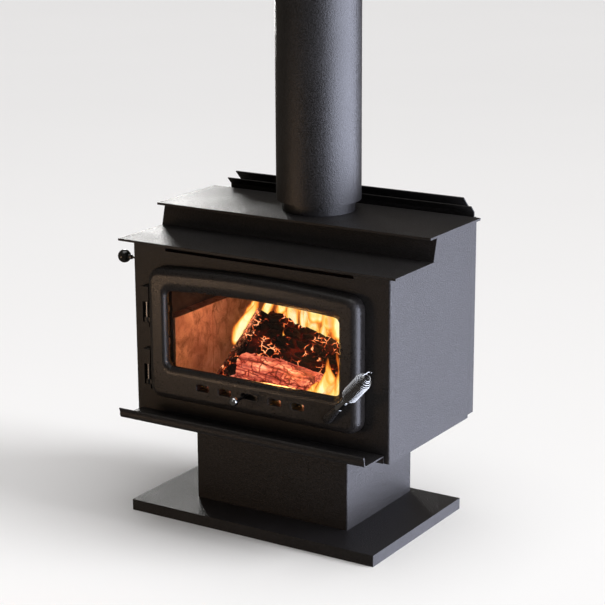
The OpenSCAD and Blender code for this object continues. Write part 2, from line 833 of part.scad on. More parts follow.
latch_y = front_y + plate_t + 1;
latch_t = 6;
module handle_spindle() {
  color(STEEL) {
    rod_y(pivot[0], pivot[1], spindle_r, door_front_y - 8, latch_y + latch_t + 1, 48);
    rod_y(pivot[0], pivot[1], latch_eye_r, latch_y + latch_t, latch_y + latch_t + 5, 6);
  }
}

latch_up = 50;     // at rest the arm points this far above horizontal, clear of the jamb
latch_l = 58;
latch_r = 7;       // half width of the arm and radius of its tip
latch_eye_r = 8;
module latch_arm() {
  color(STEEL) difference() {
    translate([pivot[0], 0, pivot[1]]) rotate([0, -latch_up, 0]) upright(latch_y, latch_t) {
      circle(latch_eye_r);
      translate([0, -latch_r]) square([latch_l - latch_r, 2 * latch_r]);
      translate([latch_l - latch_r, 0]) circle(latch_r);
    }
    rod_y(pivot[0], pivot[1], spindle_r, latch_y - 1, latch_y + latch_t + 1, 48);
  }
}

module handle_ferrule() {
  color(STEEL) in_handle_frame() translate([lever_l, 0, 0]) rotate([0, 90, 0]) {
    cylinder(d = ferrule_d, h = ferrule_l);
    cylinder(r = core_r, h = ferrule_l + neck_l + grip_l, $fn = 32);
  }
}

// The coil grip: turns of wire on a thin sleeve, a neck that widens, a straight grip, a nose that winds in
coil_start = lever_l + ferrule_l + wire_d / 2;
core_r = 5.5;
neck_turns = 4;
grip_turns = 14;
nose = [0.86, 0.68, 0.5];
grip_r = (grip_d - wire_d) / 2;
neck_r = core_r + wire_d / 2;
coil_radii = concat(
  [for (i = [0 : neck_turns - 1]) neck_r + (grip_r - neck_r) * i / neck_turns],
  [for (i = [1 : grip_turns]) grip_r],
  [for (k = nose) grip_r * k]);
module handle_coil() {
  turns = [for (i = [0 : len(coil_radii) - 1]) [coil_radii[i], coil_start + i * coil_pitch]];
  color(STEEL) in_handle_frame() rotate([0, 90, 0]) rotate_extrude() {
    folded(turns, 1);
    for (p = turns) translate(p) circle(d = wire_d, $fn = 20);
  }
}

// ---- air slide in the door ----

slide_offset = 6;          // how far the slide stands right of fully open at rest
module air_slide() {
  color(STEEL) difference() {
    span(-slide_half_w - slide_lead, slide_half_w, slide_y0, slide_y0 + slide_t,
         slide_z0, slide_z0 + slide_h);
    for (x = port_x) upright(slide_y0 - 1, slide_t + 2) translate([x + slide_offset, port_z])
      round_rect(slide_port_w, port_h, 4, 32);
    rod_y(air_rod_x, air_rod_z, air_rod_r, slide_y0 - 1, slide_y0 + slide_t + 1, 32);
  }
}

module air_rod() {
  color(STEEL)
    rod_y(air_rod_x, air_rod_z, air_rod_r, air_ball_y + air_ball_d / 2 - 2, slide_y0 + slide_t, 32);
}

module air_ball() {
  color(STEEL) difference() {
    translate([air_rod_x, air_ball_y, air_rod_z]) sphere(d = air_ball_d);
    rod_y(air_rod_x, air_rod_z, air_rod_r, air_ball_y + air_ball_d / 2 - 2, air_ball_y + air_ball_d, 32);
  }
}

// ---- boost air rod on the left side ----

bush_r = 6;
module boost_bush() {
  color(STEEL) difference() {
    union() {
      rod_x(boost_y, boost_z, bush_r, -body_x, -body_x + skin_t, 48);
      rod_x(boost_y, boost_z, bush_r + 3, -body_x - 1.5, -body_x, 48);
    }
    rod_x(boost_y, boost_z, boost_rod_r + RUN, -body_x - 3, -body_x + 10, 48);
  }
}

boost_disc_x = -box_x - boost_open - boost_disc_t;
module boost_rod() {
  color(STEEL) rod_x(boost_y, boost_z, boost_rod_r, boost_ball_x + boost_ball_d / 2 - 3, boost_disc_x, 48);
}

module boost_ball() {
  color(BLACK) difference() {
    translate([boost_ball_x, boost_y, boost_z]) sphere(d = boost_ball_d);
    rod_x(boost_y, boost_z, boost_rod_r, boost_ball_x + boost_ball_d / 2 - 3,
          boost_ball_x + boost_ball_d, 48);
  }
}

module boost_valve() {
  color(STEEL) rod_x(boost_y, boost_z, boost_disc_r, boost_disc_x, boost_disc_x + boost_disc_t);
}

base_pan();
base_stiffeners();
pedestal_wrap();
pedestal_back();
pedestal_bolts();
firebox_floor();
firebox_side_left();
firebox_side_right();
firebox_rear();
front_panel();
side_panel_left();
side_panel_right();
side_spacers();
ledge_plate();
riser_plate();
cooktop_plate();
flue_collar();
flue_pipe();
flue_casing();
casing_spacers();
airwash_channel();
baffle_plate();
baffle_rails();
floor_bricks();
side_bricks();
rear_bricks();
brick_retainers();
rear_shield_inner();
rear_shield_outer();
shield_standoffs();
shield_screws();
ash_shelf();
shelf_bolts();
hinge_brackets();
hinge_pins();
boost_bush();
door_frame();
door_glass();
glass_gasket();
glass_clips();
clip_screws();
door_rope();
slide_guides();
handle_lever();
handle_spindle();
latch_arm();
handle_ferrule();
handle_coil();
air_slide();
air_rod();
air_ball();
boost_rod();
boost_ball();
boost_valve();
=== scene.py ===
# The looks of a free-standing wood heater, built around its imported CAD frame.
import json
import math
import random
import bmesh
import bpy
from mathutils import Matrix, Vector, noise


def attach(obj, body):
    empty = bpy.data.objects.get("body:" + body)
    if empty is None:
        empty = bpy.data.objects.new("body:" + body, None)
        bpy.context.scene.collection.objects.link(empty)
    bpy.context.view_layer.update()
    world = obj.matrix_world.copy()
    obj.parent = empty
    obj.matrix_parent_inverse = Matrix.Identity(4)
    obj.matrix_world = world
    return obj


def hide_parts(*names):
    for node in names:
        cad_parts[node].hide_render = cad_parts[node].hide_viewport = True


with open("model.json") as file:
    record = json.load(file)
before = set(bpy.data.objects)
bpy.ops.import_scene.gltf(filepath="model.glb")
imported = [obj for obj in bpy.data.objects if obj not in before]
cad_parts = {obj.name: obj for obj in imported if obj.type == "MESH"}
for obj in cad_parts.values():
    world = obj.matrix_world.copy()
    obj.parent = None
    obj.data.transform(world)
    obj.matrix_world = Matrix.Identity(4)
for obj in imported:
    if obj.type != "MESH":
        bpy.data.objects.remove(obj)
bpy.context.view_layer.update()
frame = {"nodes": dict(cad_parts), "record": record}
NODES = frame["nodes"]
SLOT_OF = {s["node"]: s["material_slot"] for s in frame["record"]["subparts"]}
BODY_OF = {n: b for b, members in frame["record"]["behaviour"]["bodies"].items() for n in members}
MM = 0.001
scene = bpy.context.scene
scene.view_settings.view_transform = "Standard"
scene.view_settings.look = "None"


# -------------------- camera
# Fitted to the object's edges, so that it stands where the photograph was taken from.
CAMERA_AZIMUTH, CAMERA_ELEVATION, CAMERA_ROLL = 32.261, 15.076, -0.308     # degrees
CAMERA_AIM = (-17.813, 58.0, 440.647)                                      # mm
CAMERA_DISTANCE = 3.852                                                    # m
SENSOR_WIDTH = 36                                                          # mm
LENS = SENSOR_WIDTH * 1831.5 / 605                                         # mm


def add_camera():
    az, el, roll = (math.radians(a) for a in (CAMERA_AZIMUTH, CAMERA_ELEVATION, CAMERA_ROLL))
    look = Vector((-math.sin(az) * math.cos(el), math.cos(az) * math.cos(el), -math.sin(el)))
    right = Vector((math.cos(az), math.sin(az), 0))
    up = right.cross(look)
    right_r = right * math.cos(roll) + up * math.sin(roll)
    up_r = up * math.cos(roll) - right * math.sin(roll)
    place = Vector(CAMERA_AIM) * MM - look * CAMERA_DISTANCE
    cam = bpy.data.cameras.new("camera")
    cam.sensor_width = SENSOR_WIDTH
    cam.lens = LENS
    cam.clip_end = 200
    ob = bpy.data.objects.new("camera", cam)
    scene.collection.objects.link(ob)
    ob.matrix_world = Matrix((
        (right_r.x, up_r.x, -look.x, place.x), (right_r.y, up_r.y, -look.y, place.y),
        (right_r.z, up_r.z, -look.z, place.z), (0, 0, 0, 1)))
    scene.camera = ob


add_camera()


# -------------------- node helpers
class Nodes:
    """A material's node tree with short calls to add to it."""

    def __init__(self, name):
        self.mat = bpy.data.materials.new(name)
        self.mat.use_nodes = True
        self.tree = self.mat.node_tree
        self.tree.nodes.clear()
        self.out = self.add("ShaderNodeOutputMaterial")
        coord = self.add("ShaderNodeTexCoord")
        self.object = coord.outputs["Object"]
        self.uv = coord.outputs["UV"]

    def add(self, kind, **props):
        node = self.tree.nodes.new(kind)
        for key, value in props.items():
            setattr(node, key, value)
        return node

    def link(self, a, b):
        self.tree.links.new(a, b)

    def put(self, socket, value):
        """Links the socket to another, or gives it a number, or a colour as three numbers."""
        if hasattr(value, "links"):
            self.link(value, socket)
        elif isinstance(value, (tuple, list)):
            socket.default_value = (*value, 1)
        else:
            socket.default_value = value

    def set(self, node, **values):
        for key, value in values.items():
            self.put(node.inputs[key.replace("_", " ")], value)
        return node

    def scaled(self, vector, scale, location=(0, 0, 0)):
        node = self.set(self.add("ShaderNodeMapping"), Vector=vector)
        node.inputs["Scale"].default_value = scale
        node.inputs["Location"].default_value = location
        return node.outputs["Vector"]

    def noise(self, scale, detail, rough, vector=None, distortion=0.0):
        node = self.set(self.add("ShaderNodeTexNoise"), Vector=vector or self.object, Scale=scale,
                        Detail=detail, Roughness=rough, Distortion=distortion)
        return node.outputs["Fac"]

    def voronoi(self, scale, feature="F1", vector=None):
        node = self.add("ShaderNodeTexVoronoi", feature=feature)
        self.set(node, Vector=vector or self.object, Scale=scale)
        return node.outputs["Distance"]

    def warped(self, scale, amount, stretch=(1, 1, 1)):
        """Object coordinates pushed about by noise, so that cracks run crooked."""
        push = self.set(self.add("ShaderNodeTexNoise"), Vector=self.object, Scale=scale)
        move = self.add("ShaderNodeVectorMath", operation="MULTIPLY_ADD")
        self.link(push.outputs["Color"], move.inputs[0])
        move.inputs[1].default_value = (amount,) * 3
        self.link(self.object, move.inputs[2])
        return self.scaled(move.outputs[0], stretch)

    def burnt(self):
        """Glow and ash, which a burnt mesh carries in the red and green of its "burnt" colours."""
        layer = self.add("ShaderNodeVertexColor", layer_name="burnt")
        parts = self.add("ShaderNodeSeparateColor")
        self.link(layer.outputs["Color"], parts.inputs[0])
        return parts.outputs[0], parts.outputs[1]

    def ramp(self, fac, stops):
        node = self.add("ShaderNodeValToRGB")
        elements = node.color_ramp.elements
        while len(elements) < len(stops):
            elements.new(0.5)
        for element, (at, colour) in zip(elements, stops):
            element.position = at
            element.color = (*colour, 1)
        self.link(fac, node.inputs["Fac"])
        return node.outputs["Color"]

    def remap(self, value, a, b, c, d):
        """Value taken from the range a to b to the range c to d, and no further."""
        node = self.add("ShaderNodeMapRange", clamp=True)
        self.set(node, Value=value, From_Min=a, From_Max=b, To_Min=c, To_Max=d)
        return node.outputs["Result"]

    def math(self, operation, a, b=None, clamp=False):
        node = self.add("ShaderNodeMath", operation=operation, use_clamp=clamp)
        self.put(node.inputs[0], a)
        if b is not None:
            self.put(node.inputs[1], b)
        return node.outputs["Value"]

    def mix(self, fac, a, b, blend="MIX"):
        node = self.add("ShaderNodeMix", data_type="RGBA", blend_type=blend)
        for index, value in ((0, fac), (6, a), (7, b)):
            self.put(node.inputs[index], value)
        return node.outputs[2]

    def bump(self, height, strength, distance, under=None):
        node = self.add("ShaderNodeBump")
        self.set(node, Strength=strength, Distance=distance, Height=height)
        if under is not None:
            self.link(under, node.inputs["Normal"])
        return node.outputs["Normal"]

    def axis(self, vector, index):
        node = self.add("ShaderNodeSeparateXYZ")
        self.link(vector, node.inputs[0])
        return node.outputs[index]

    def shader(self, **values):
        node = self.set(self.add("ShaderNodeBsdfPrincipled"), **values)
        self.link(node.outputs["BSDF"], self.out.inputs["Surface"])

    def blended(self, fac, first, second):
        """Ends the tree in a mix of two shader nodes."""
        blend = self.add("ShaderNodeMixShader")
        self.link(fac, blend.inputs[0])
        self.link(first.outputs[0], blend.inputs[1])
        self.link(second.outputs[0], blend.inputs[2])
        self.link(blend.outputs[0], self.out.inputs["Surface"])


# -------------------- materials
def heat_paint(name, tint, rough, grain, level):
    """Satin high-temperature paint: a fine sprayed grain, faint mottling, small changes in gloss.

    rough is the range of roughness, grain the strength of the bump, level the specular level.
    """
    n = Nodes(name)
    fine = n.noise(900, 2.0, 0.6)
    medium = n.noise(330, 3.0, 0.65)
    broad = n.noise(9, 4.0, 0.55)
    speck = n.voronoi(520)
    tone = n.mix(n.remap(medium, 0.38, 0.64, 0, 1),
                 [0.4 * c for c in tint], [1.7 * c for c in tint])
    tone = n.mix(n.remap(speck, 0.02, 0.2, 0.8, 0), tone, [4.0 * c for c in tint])
    tone = n.mix(n.remap(broad, 0.35, 0.7, 0, 0.35), tone, [1.5 * c for c in tint])
    gloss = n.math("ADD", n.remap(medium, 0.3, 0.7, rough[0] - 0.05, rough[1] + 0.05),
                   n.remap(broad, 0.3, 0.7, -0.03, 0.04))
    normal = n.bump(medium, 0.9 * grain, 0.0012, n.bump(fine, 0.3 * grain, 0.0004))
    n.shader(Base_Color=tone, Roughness=gloss, Normal=normal, Metallic=0.0,
             Specular_IOR_Level=level)
    return n.mat


def plain_metal(name, colour, rough, scratch):
    """Bright or satin metal with light wear: fine scratches and cloudy changes in gloss."""
    n = Nodes(name)
    cloud = n.noise(60, 4.0, 0.6)
    lines = n.noise(90, 5.0, 0.7, n.scaled(n.object, (1.0, 14.0, 1.0)))
    tone = n.mix(n.remap(cloud, 0.3, 0.7, 0, 1), [0.85 * c for c in colour], colour)
    gloss = n.math("ADD", n.remap(cloud, 0.3, 0.7, rough * 0.75, rough * 1.3),
                   n.remap(lines, 0.4, 0.7, 0, scratch))
    n.shader(Base_Color=tone, Roughness=gloss, Metallic=1.0, Normal=n.bump(lines, 0.05, 0.0002))
    return n.mat


def scaled_steel(name):
    """Steel inside the firebox: brown-black scale with soot clouds."""
    n = Nodes(name)
    cloud = n.noise(22, 6.0, 0.65, distortion=0.6)
    fine = n.noise(260, 3.0, 0.6)
    tone = n.mix(n.remap(cloud, 0.35, 0.65, 0, 1), (0.012, 0.009, 0.01), (0.04, 0.028, 0.028))
    n.shader(Base_Color=tone, Roughness=n.remap(cloud, 0.3, 0.7, 0.9, 0.55), Metallic=0.25,
             Normal=n.bump(fine, 0.3, 0.0005))
    return n.mat


def fire_brick(name):
    """Refractory brick: warm mottled clay, soot streaks, pores, and a painted pale reflection of
    light low down.
    """
    n = Nodes(name)
    cloud = n.noise(16, 6.0, 0.62, distortion=0.8)
    streak = n.noise(30, 5.0, 0.7, n.scaled(n.object, (1.2, 1.2, 0.8)), distortion=0.7)
    pores = n.voronoi(170)
    fine = n.noise(300, 4.0, 0.65)
    tone = n.ramp(cloud, [(0.28, (0.24, 0.13, 0.1)), (0.45, (0.38, 0.24, 0.19)),
                          (0.6, (0.5, 0.35, 0.27)), (0.78, (0.62, 0.48, 0.4))])
    tone = n.mix(n.remap(streak, 0.46, 0.66, 0, 0.85), tone, (0.1, 0.05, 0.04))
    # Paler towards the bottom of the wall: a painted pale reflection of light low on the bricks.
    painted_low_light = n.math("MULTIPLY", n.remap(n.axis(n.object, 2), 0.36, 0.25, 0, 1),
                 n.remap(cloud, 0.4, 0.6, 0.3, 1.0))
    tone = n.mix(n.math("MULTIPLY", painted_low_light, 0.8), tone, (0.6, 0.52, 0.45))
    tone = n.mix(n.remap(pores, 0.05, 0.22, 0.6, 0), tone, (0.1, 0.05, 0.035))
    height = n.math("ADD", fine, n.remap(pores, 0.0, 0.25, -0.5, 0.2))
    n.shader(Base_Color=tone, Roughness=0.88, Normal=n.bump(height, 0.5, 0.0015))
    return n.mat


def rope_seal(name):
    """Woven glass-fibre rope, grey-white."""
    n = Nodes(name)
    wave = n.add("ShaderNodeTexWave", wave_type="BANDS", bands_direction="DIAGONAL")
    n.set(wave, Vector=n.object, Scale=130, Distortion=3, Detail=2)
    weave = wave.outputs["Fac"]
    dirt = n.noise(40, 4.0, 0.6)
    tone = n.mix(n.remap(dirt, 0.4, 0.7, 0, 0.8), (0.52, 0.5, 0.46), (0.2, 0.18, 0.16))
    tone = n.mix(weave, tone, (0.3, 0.28, 0.26), "MULTIPLY")
    n.shader(Base_Color=tone, Roughness=0.95, Normal=n.bump(weave, 0.6, 0.001))
    return n.mat


def stove_glass(name):
    """Ceramic glass: clear, a faint warm tint, soft reflections, thin haze of soot."""
    n = Nodes(name)
    haze = n.noise(30, 4.0, 0.6)
    tint = n.ramp(haze, [(0.3, (0.93, 0.9, 0.86)), (0.7, (0.99, 0.97, 0.95))])
    clear = n.set(n.add("ShaderNodeBsdfTransparent"), Color=tint)
    gloss = n.set(n.add("ShaderNodeBsdfGlossy"), Roughness=0.05, Color=(0.9, 0.92, 0.95))
    fresnel = n.set(n.add("ShaderNodeFresnel"), IOR=1.28)
    n.blended(fresnel.outputs["Fac"], clear, gloss)
    return n.mat


def charred_wood(name):
    """Burning wood: black char with grey ash on its high spots, a red glow in its cracks, and
    glints along crack edges that are partly ember glow and partly a painted highlight.
    """
    n = Nodes(name)
    glow, ash = n.burnt()
    flicker = n.noise(60, 4.0, 0.6)
    fine = n.noise(420, 4.0, 0.7)
    where = n.noise(26, 3.0, 0.6)
    tone = n.mix(fine, (0.0012, 0.001, 0.001), (0.006, 0.005, 0.0048))
    dust = n.math("MULTIPLY", ash, n.remap(fine, 0.42, 0.6, 0, 1), clamp=True)
    tone = n.mix(dust, tone, (0.36, 0.29, 0.25))
    level = n.math("MULTIPLY", n.math("MULTIPLY", glow, glow),
                   n.remap(flicker, 0.38, 0.65, 0.3, 1.3), clamp=True)
    # Glints: emission along crack edges, partly ember glow and partly a painted highlight of flame
    # light on the char.
    crack = n.voronoi(62, "DISTANCE_TO_EDGE", n.warped(34, 0.012))
    glint_glow_and_painted_highlight = n.math("MULTIPLY", n.remap(crack, 0.0, 0.075, 1, 0), n.remap(where, 0.5, 0.62, 0, 1))
    level = n.math("MAXIMUM", level, glint_glow_and_painted_highlight)
    fire = n.ramp(level, [(0.0, (0, 0, 0)), (0.25, (0.1, 0.006, 0.002)), (0.5, (0.75, 0.12, 0.03)),
                          (0.75, (1.0, 0.38, 0.12)), (1.0, (1.0, 0.7, 0.48))])
    n.shader(Base_Color=tone, Roughness=n.remap(fine, 0.3, 0.7, 0.35, 0.75),
             Normal=n.bump(fine, 0.7, 0.0014), Specular_IOR_Level=0.15,
             Emission_Color=fire, Emission_Strength=1.7)
    return n.mat


def glowing_coal(name):
    """Wood burnt to red coal: pink-red blocks, dark cracks, paler where ash has settled."""
    n = Nodes(name)
    glow, ash = n.burnt()
    cloud = n.noise(34, 5.0, 0.62)
    fine = n.noise(260, 4.0, 0.7)
    grain = n.noise(1.0, 5.0, 0.65, n.scaled(n.object, (26, 60, 230)), distortion=0.4)
    level = n.math("MULTIPLY", glow, n.remap(cloud, 0.3, 0.7, 0.45, 1.15))
    level = n.math("MULTIPLY", level, n.remap(grain, 0.36, 0.62, 0.5, 1.15))
    crack = n.voronoi(1.0, "DISTANCE_TO_EDGE", n.warped(36, 0.03, (20, 34, 60)))
    level = n.math("MULTIPLY", level, n.remap(crack, 0.0, 0.055, 0.15, 1.0), clamp=True)
    fire = n.ramp(level, [(0.0, (0.02, 0.003, 0.002)), (0.18, (0.12, 0.01, 0.006)),
                          (0.4, (0.42, 0.045, 0.025)), (0.62, (0.72, 0.12, 0.07)),
                          (0.82, (0.95, 0.29, 0.13)), (1.0, (1.0, 0.55, 0.3))])
    pale = n.math("MULTIPLY", ash, n.remap(fine, 0.36, 0.62, 0.25, 1.0), clamp=True)
    pale = n.math("MULTIPLY", pale, n.remap(crack, 0.02, 0.1, 0.0, 1.0))
    fire = n.mix(pale, fire, (0.86, 0.5, 0.38))
    n.shader(Base_Color=n.mix(fine, (0.03, 0.012, 0.01), (0.12, 0.06, 0.05)), Roughness=0.9,
             Normal=n.bump(fine, 0.6, 0.0015), Emission_Color=fire, Emission_Strength=1.2)
    return n.mat


def flame_glow(name, streak, bright, gap, edge_soft, white=0.92):
    """A tongue of flame: bright core, orange rim, streaked upwards; u runs across it, v up it.

    gap is what shows between the streaks, edge_soft the rim's width, white the core's green.
    """
    n = Nodes(name)
    u, v = n.axis(n.uv, 0), n.axis(n.uv, 1)
    lines = n.noise(1.0, 4.0, 0.55, n.scaled(n.object, streak), distortion=0.9)
    waves = n.noise(1.0, 2.0, 0.5, n.scaled(n.object, [0.45 * s for s in streak], (3, 1, 7)),
                    distortion=0.6)
    across = n.math("ABSOLUTE", n.math("SUBTRACT", n.math("MULTIPLY", u, 2.0), 1.0))
    across = n.math("ADD", across, n.remap(waves, 0.3, 0.7, -0.28, 0.28))
    rim = n.remap(across, 1.0 - edge_soft, 1.0, 1.0, 0.0)
    foot = n.remap(v, 0.0, 0.1, 0.0, 1.0)
    tip = n.remap(n.math("ADD", v, n.remap(lines, 0.35, 0.65, -0.22, 0.22)), 0.62, 1.0, 1.0, 0.0)
    body = n.math("MULTIPLY", n.math("MULTIPLY", rim, tip), foot)
    core = n.math("MULTIPLY", body, n.remap(lines, 0.32, 0.6, gap, 1.0))
    colour = n.ramp(core, [(0.0, (0.55, 0.07, 0.01)), (0.25, (0.95, 0.22, 0.025)),
                           (0.5, (1.0, 0.47, 0.07)), (0.75, (1.0, 0.76, 0.25)),
                           (1.0, (1.0, white, 0.55))])
    light = n.set(n.add("ShaderNodeEmission"), Color=colour, Strength=bright)
    clear = n.add("ShaderNodeBsdfTransparent")
    n.blended(n.remap(core, 0.02, 0.45, 0.0, 0.97), clear, light)
    n.mat.use_backface_culling = False
    return n.mat


M = {
    "heat_paint": heat_paint("heat_paint", (0.0098, 0.0087, 0.0079), (0.38, 0.5), 1.0, 0.25),
    "firebox_steel": scaled_steel("firebox_steel"),
    "fire_brick": fire_brick("fire_brick"),
    "plain_steel": plain_metal("plain_steel", (0.42, 0.42, 0.43), 0.34, 0.16),
    "door_casting": heat_paint("door_casting", (0.0098, 0.0086, 0.0078), (0.3, 0.38), 0.5, 0.27),
    "ceramic_glass": stove_glass("ceramic_glass"),
    "rope_seal": rope_seal("rope_seal"),
    "bright_metal": plain_metal("bright_metal", (0.36, 0.37, 0.39), 0.12, 0.05),
    "knob_black": heat_paint("knob_black", (0.006, 0.006, 0.006), (0.12, 0.2), 0.15, 0.5),
}
CHAR = charred_wood("charred_wood")
COAL = glowing_coal("glowing_coal")
CAST_BLACK = heat_paint("cast_black", (0.01, 0.0092, 0.0088), (0.24, 0.34), 0.8, 0.55)
PIPE_PAINT = heat_paint("pipe_paint", (0.0105, 0.0098, 0.0094), (0.35, 0.45), 0.7, 0.38)


# -------------------- pieces
def new_piece(name, mesh, body, slot, material=None, replaces=()):
    ob = bpy.data.objects.new(name, mesh)
    scene.collection.objects.link(ob)
    mesh.materials.clear()
    mesh.materials.append(material or M[slot])
    for polygon in mesh.polygons:
        polygon.use_smooth = True
    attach(ob, body)
    if replaces:
        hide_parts(*replaces)
    return ob


def mesh_from(name, verts, faces):
    mesh = bpy.data.meshes.new(name)
    mesh.from_pydata([tuple(v) for v in verts], [], faces)
    bm = bmesh.new()
    bm.from_mesh(mesh)
    bmesh.ops.recalc_face_normals(bm, faces=bm.faces)
    bm.to_mesh(mesh)
    bm.free()
    return mesh


def weighted_normals(ob, name, weight):
    shade = ob.modifiers.new(name, "WEIGHTED_NORMAL")
    shade.weight = weight
    shade.keep_sharp = True


def softened(node, width):
    """The CAD node's own shape with its sharp edges rounded, as real sheet and castings have."""
    mesh = NODES[node].data.copy()
    bm = bmesh.new()
    bm.from_mesh(mesh)
    bmesh.ops.remove_doubles(bm, verts=bm.verts, dist=2e-6)
    bmesh.ops.dissolve_limit(bm, angle_limit=math.radians(0.6), verts=bm.verts, edges=bm.edges)
    bm.to_mesh(mesh)
    bm.free()
    mesh.name = node + "_skin"
    ob = new_piece(node + "_skin", mesh, BODY_OF[node], SLOT_OF[node], replaces=(node,))
    bevel = ob.modifiers.new("edges", "BEVEL")
    bevel.width = width
    bevel.segments = 2
    bevel.limit_method = "ANGLE"
    bevel.angle_limit = math.radians(32)
    bevel.miter_outer = "MITER_ARC"
    weighted_normals(ob, "shade", 100)


def smooth_by_weight(ob, angle):
    ob.data.set_sharp_from_angle(angle=math.radians(angle))
    weighted_normals(ob, "normals", 60)


def bridge(rings, loop=False):
    """Vertices and faces through a row of rings with the same number of points, ends closed."""
    count = len(rings[0])
    verts = [p for ring in rings for p in ring]
    faces = []
    last = len(rings) if loop else len(rings) - 1
    for k in range(last):
        a, b = k * count, ((k + 1) % len(rings)) * count
        for i in range(count):
            j = (i + 1) % count
            faces.append((a + i, a + j, b + j, b + i))
    if not loop:
        faces.append(tuple(range(count - 1, -1, -1)))
        faces.append(tuple((len(rings) - 1) * count + i for i in range(count)))
    return verts, faces


def joined(solids):
    verts, faces = [], []
    for more_verts, more_faces in solids:
        faces += [tuple(i + len(verts) for i in face) for face in more_faces]
        verts += more_verts
    return verts, faces


def tube(path, radii, sides):
    """Rings round a path, carried along it without twisting, with a radius for each point."""
    rings = []
    normal = path[1] - path[0]
    normal = normal.normalized().orthogonal().normalized()
    for i, (point, r) in enumerate(zip(path, radii)):
        ahead = (path[min(i + 1, len(path) - 1)] - path[max(i - 1, 0)]).normalized()
        normal = (normal - ahead * normal.dot(ahead)).normalized()
        side = ahead.cross(normal)
        rings.append([point + (normal * math.cos(a) + side * math.sin(a)) * r
                      for a in (2 * math.pi * k / sides for k in range(sides))])
    return bridge(rings)


def lathe(profile, centre, axis, sides=48):
    """Turned shape: profile holds (distance along the axis, radius) from centre, in mm."""
    axis = Vector(axis).normalized()
    a = axis.orthogonal().normalized()
    b = axis.cross(a)
    rings = []
    for along, r in profile:
        r = max(r * MM, 1e-5)
        rings.append([Vector(centre) + axis * (along * MM)
                      + (a * math.cos(t) + b * math.sin(t)) * r
                      for t in (2 * math.pi * k / sides for k in range(sides))])
    return bridge(rings)


def cut(mesh, verts, faces, operation="DIFFERENCE"):
    """The mesh after an exact boolean with a solid given by its vertices and faces."""
    base = bpy.data.objects.new("work_base", mesh)
    tool = bpy.data.objects.new("work_tool", mesh_from("work_tool", verts, faces))
    for ob in (base, tool):
        scene.collection.objects.link(ob)
    boolean = base.modifiers.new("cut", "BOOLEAN")
    boolean.operation = operation
    boolean.solver = "EXACT"
    boolean.object = tool
    bpy.context.view_layer.update()
    depsgraph = bpy.context.evaluated_depsgraph_get()
    result = bpy.data.meshes.new_from_object(base.evaluated_get(depsgraph))
    for ob in (base, tool):
        data = ob.data
        bpy.data.objects.remove(ob)
        bpy.data.meshes.remove(data)
    return result


# -------------------- door casting
DOOR_Y = -174 * MM               # the casting's face; depths in mm are measured back from it
THICK = 29                       # mm


def arc(cx, cz, r, a0, a1, steps):
    angles = (math.radians(a0 + (a1 - a0) * i / steps) for i in range(steps + 1))
    return [(cx + r * math.cos(a), cz + r * math.sin(a)) for a in angles]


def at_depth(points, depth):
    return [Vector((x * MM, DOOR_Y + depth * MM, z * MM)) for x, z in points]


def arched(hx, foot, crown, ra, rc):
    """A flat foot, upright sides, round corners and a shallow arched top, in X and Z.

    hx is half the width, ra the arch's radius and rc the corners'.
    """
    cx = hx - rc
    lean = math.degrees(math.asin(cx / (ra - rc)))
    shoulder = crown - ra + (ra - rc) * math.cos(math.radians(lean))
    return (arc(cx, foot + rc, rc, -90, 0, 16)
            + arc(cx, shoulder, rc, 0, 90 - lean, 16)
            + arc(0, crown - ra, ra, 90 - lean, 90 + lean, 56)[1:-1]
            + arc(-cx, shoulder, rc, 90 + lean, 180, 16)
            + arc(-cx, foot + rc, rc, 180, 270, 16))


def door_ring(inset, depth):
    """The casting's outline, drawn in by inset."""
    return at_depth(arched(253 - inset, 258 + inset, 545 - inset, 3000 - inset, 29 - inset), depth)


def window_ring(flare, grow, depth):
    """The window's outline: flare 1 is the wide mouth at the face, 0 the opening itself."""
    side = 10 * flare + grow
    return at_depth(arched(207 + side, 331 - 17 * flare - grow, 498 + 22 * flare + grow, 2600,
                           13 + side), depth)


def rounded_box(cx, cz, w, h, r, grow, depth):
    hx, hz, r = w / 2 + grow, h / 2 + grow, r + grow
    return at_depth(arc(cx + hx - r, cz - hz + r, r, -90, 0, 6)
                    + arc(cx + hx - r, cz + hz - r, r, 0, 90, 6)
                    + arc(cx - hx + r, cz + hz - r, r, 90, 180, 6)
                    + arc(cx - hx + r, cz - hz + r, r, 180, 270, 6), depth)


def rounded_cut(cx, cz, w, h, r, rim=1.6):
    """A cutter right through the casting, flared at the face so that it leaves a rounded rim."""
    rings = [rounded_box(cx, cz, w, h, r, rim, -1.0)]
    for i in range(6):
        a = math.pi / 2 * i / 5
        rings.append(rounded_box(cx, cz, w, h, r, rim * (1 - math.sin(a)), rim * (1 - math.cos(a))))
    rings.append(rounded_box(cx, cz, w, h, r, 0, THICK + 2))
    return bridge(rings)


def box_solid(x0, x1, y0, y1, z0, z1):
    return bridge([[Vector((x * MM, y * MM, z * MM))
                    for x, y in ((x0, y0), (x1, y0), (x1, y1), (x0, y1))] for z in (z0, z1)])


def clip_pocket(x, z, turn):
    """A cutter for the seat of one of the glass's clips, open at the casting's back."""
    a = math.radians(turn)
    along = Vector((math.cos(a), 0, math.sin(a)))
    across = Vector((-math.sin(a), 0, math.cos(a)))
    centre = Vector((x * MM, 0, z * MM)) - along * 10.5 * MM
    return bridge([[centre + along * p.x + across * p.z + Vector((0, p.y, 0))
                    for p in rounded_box(0, 0, 23.8, 17.3, 4.3, 0, depth)]
                   for depth in (18.5, THICK + 2)])


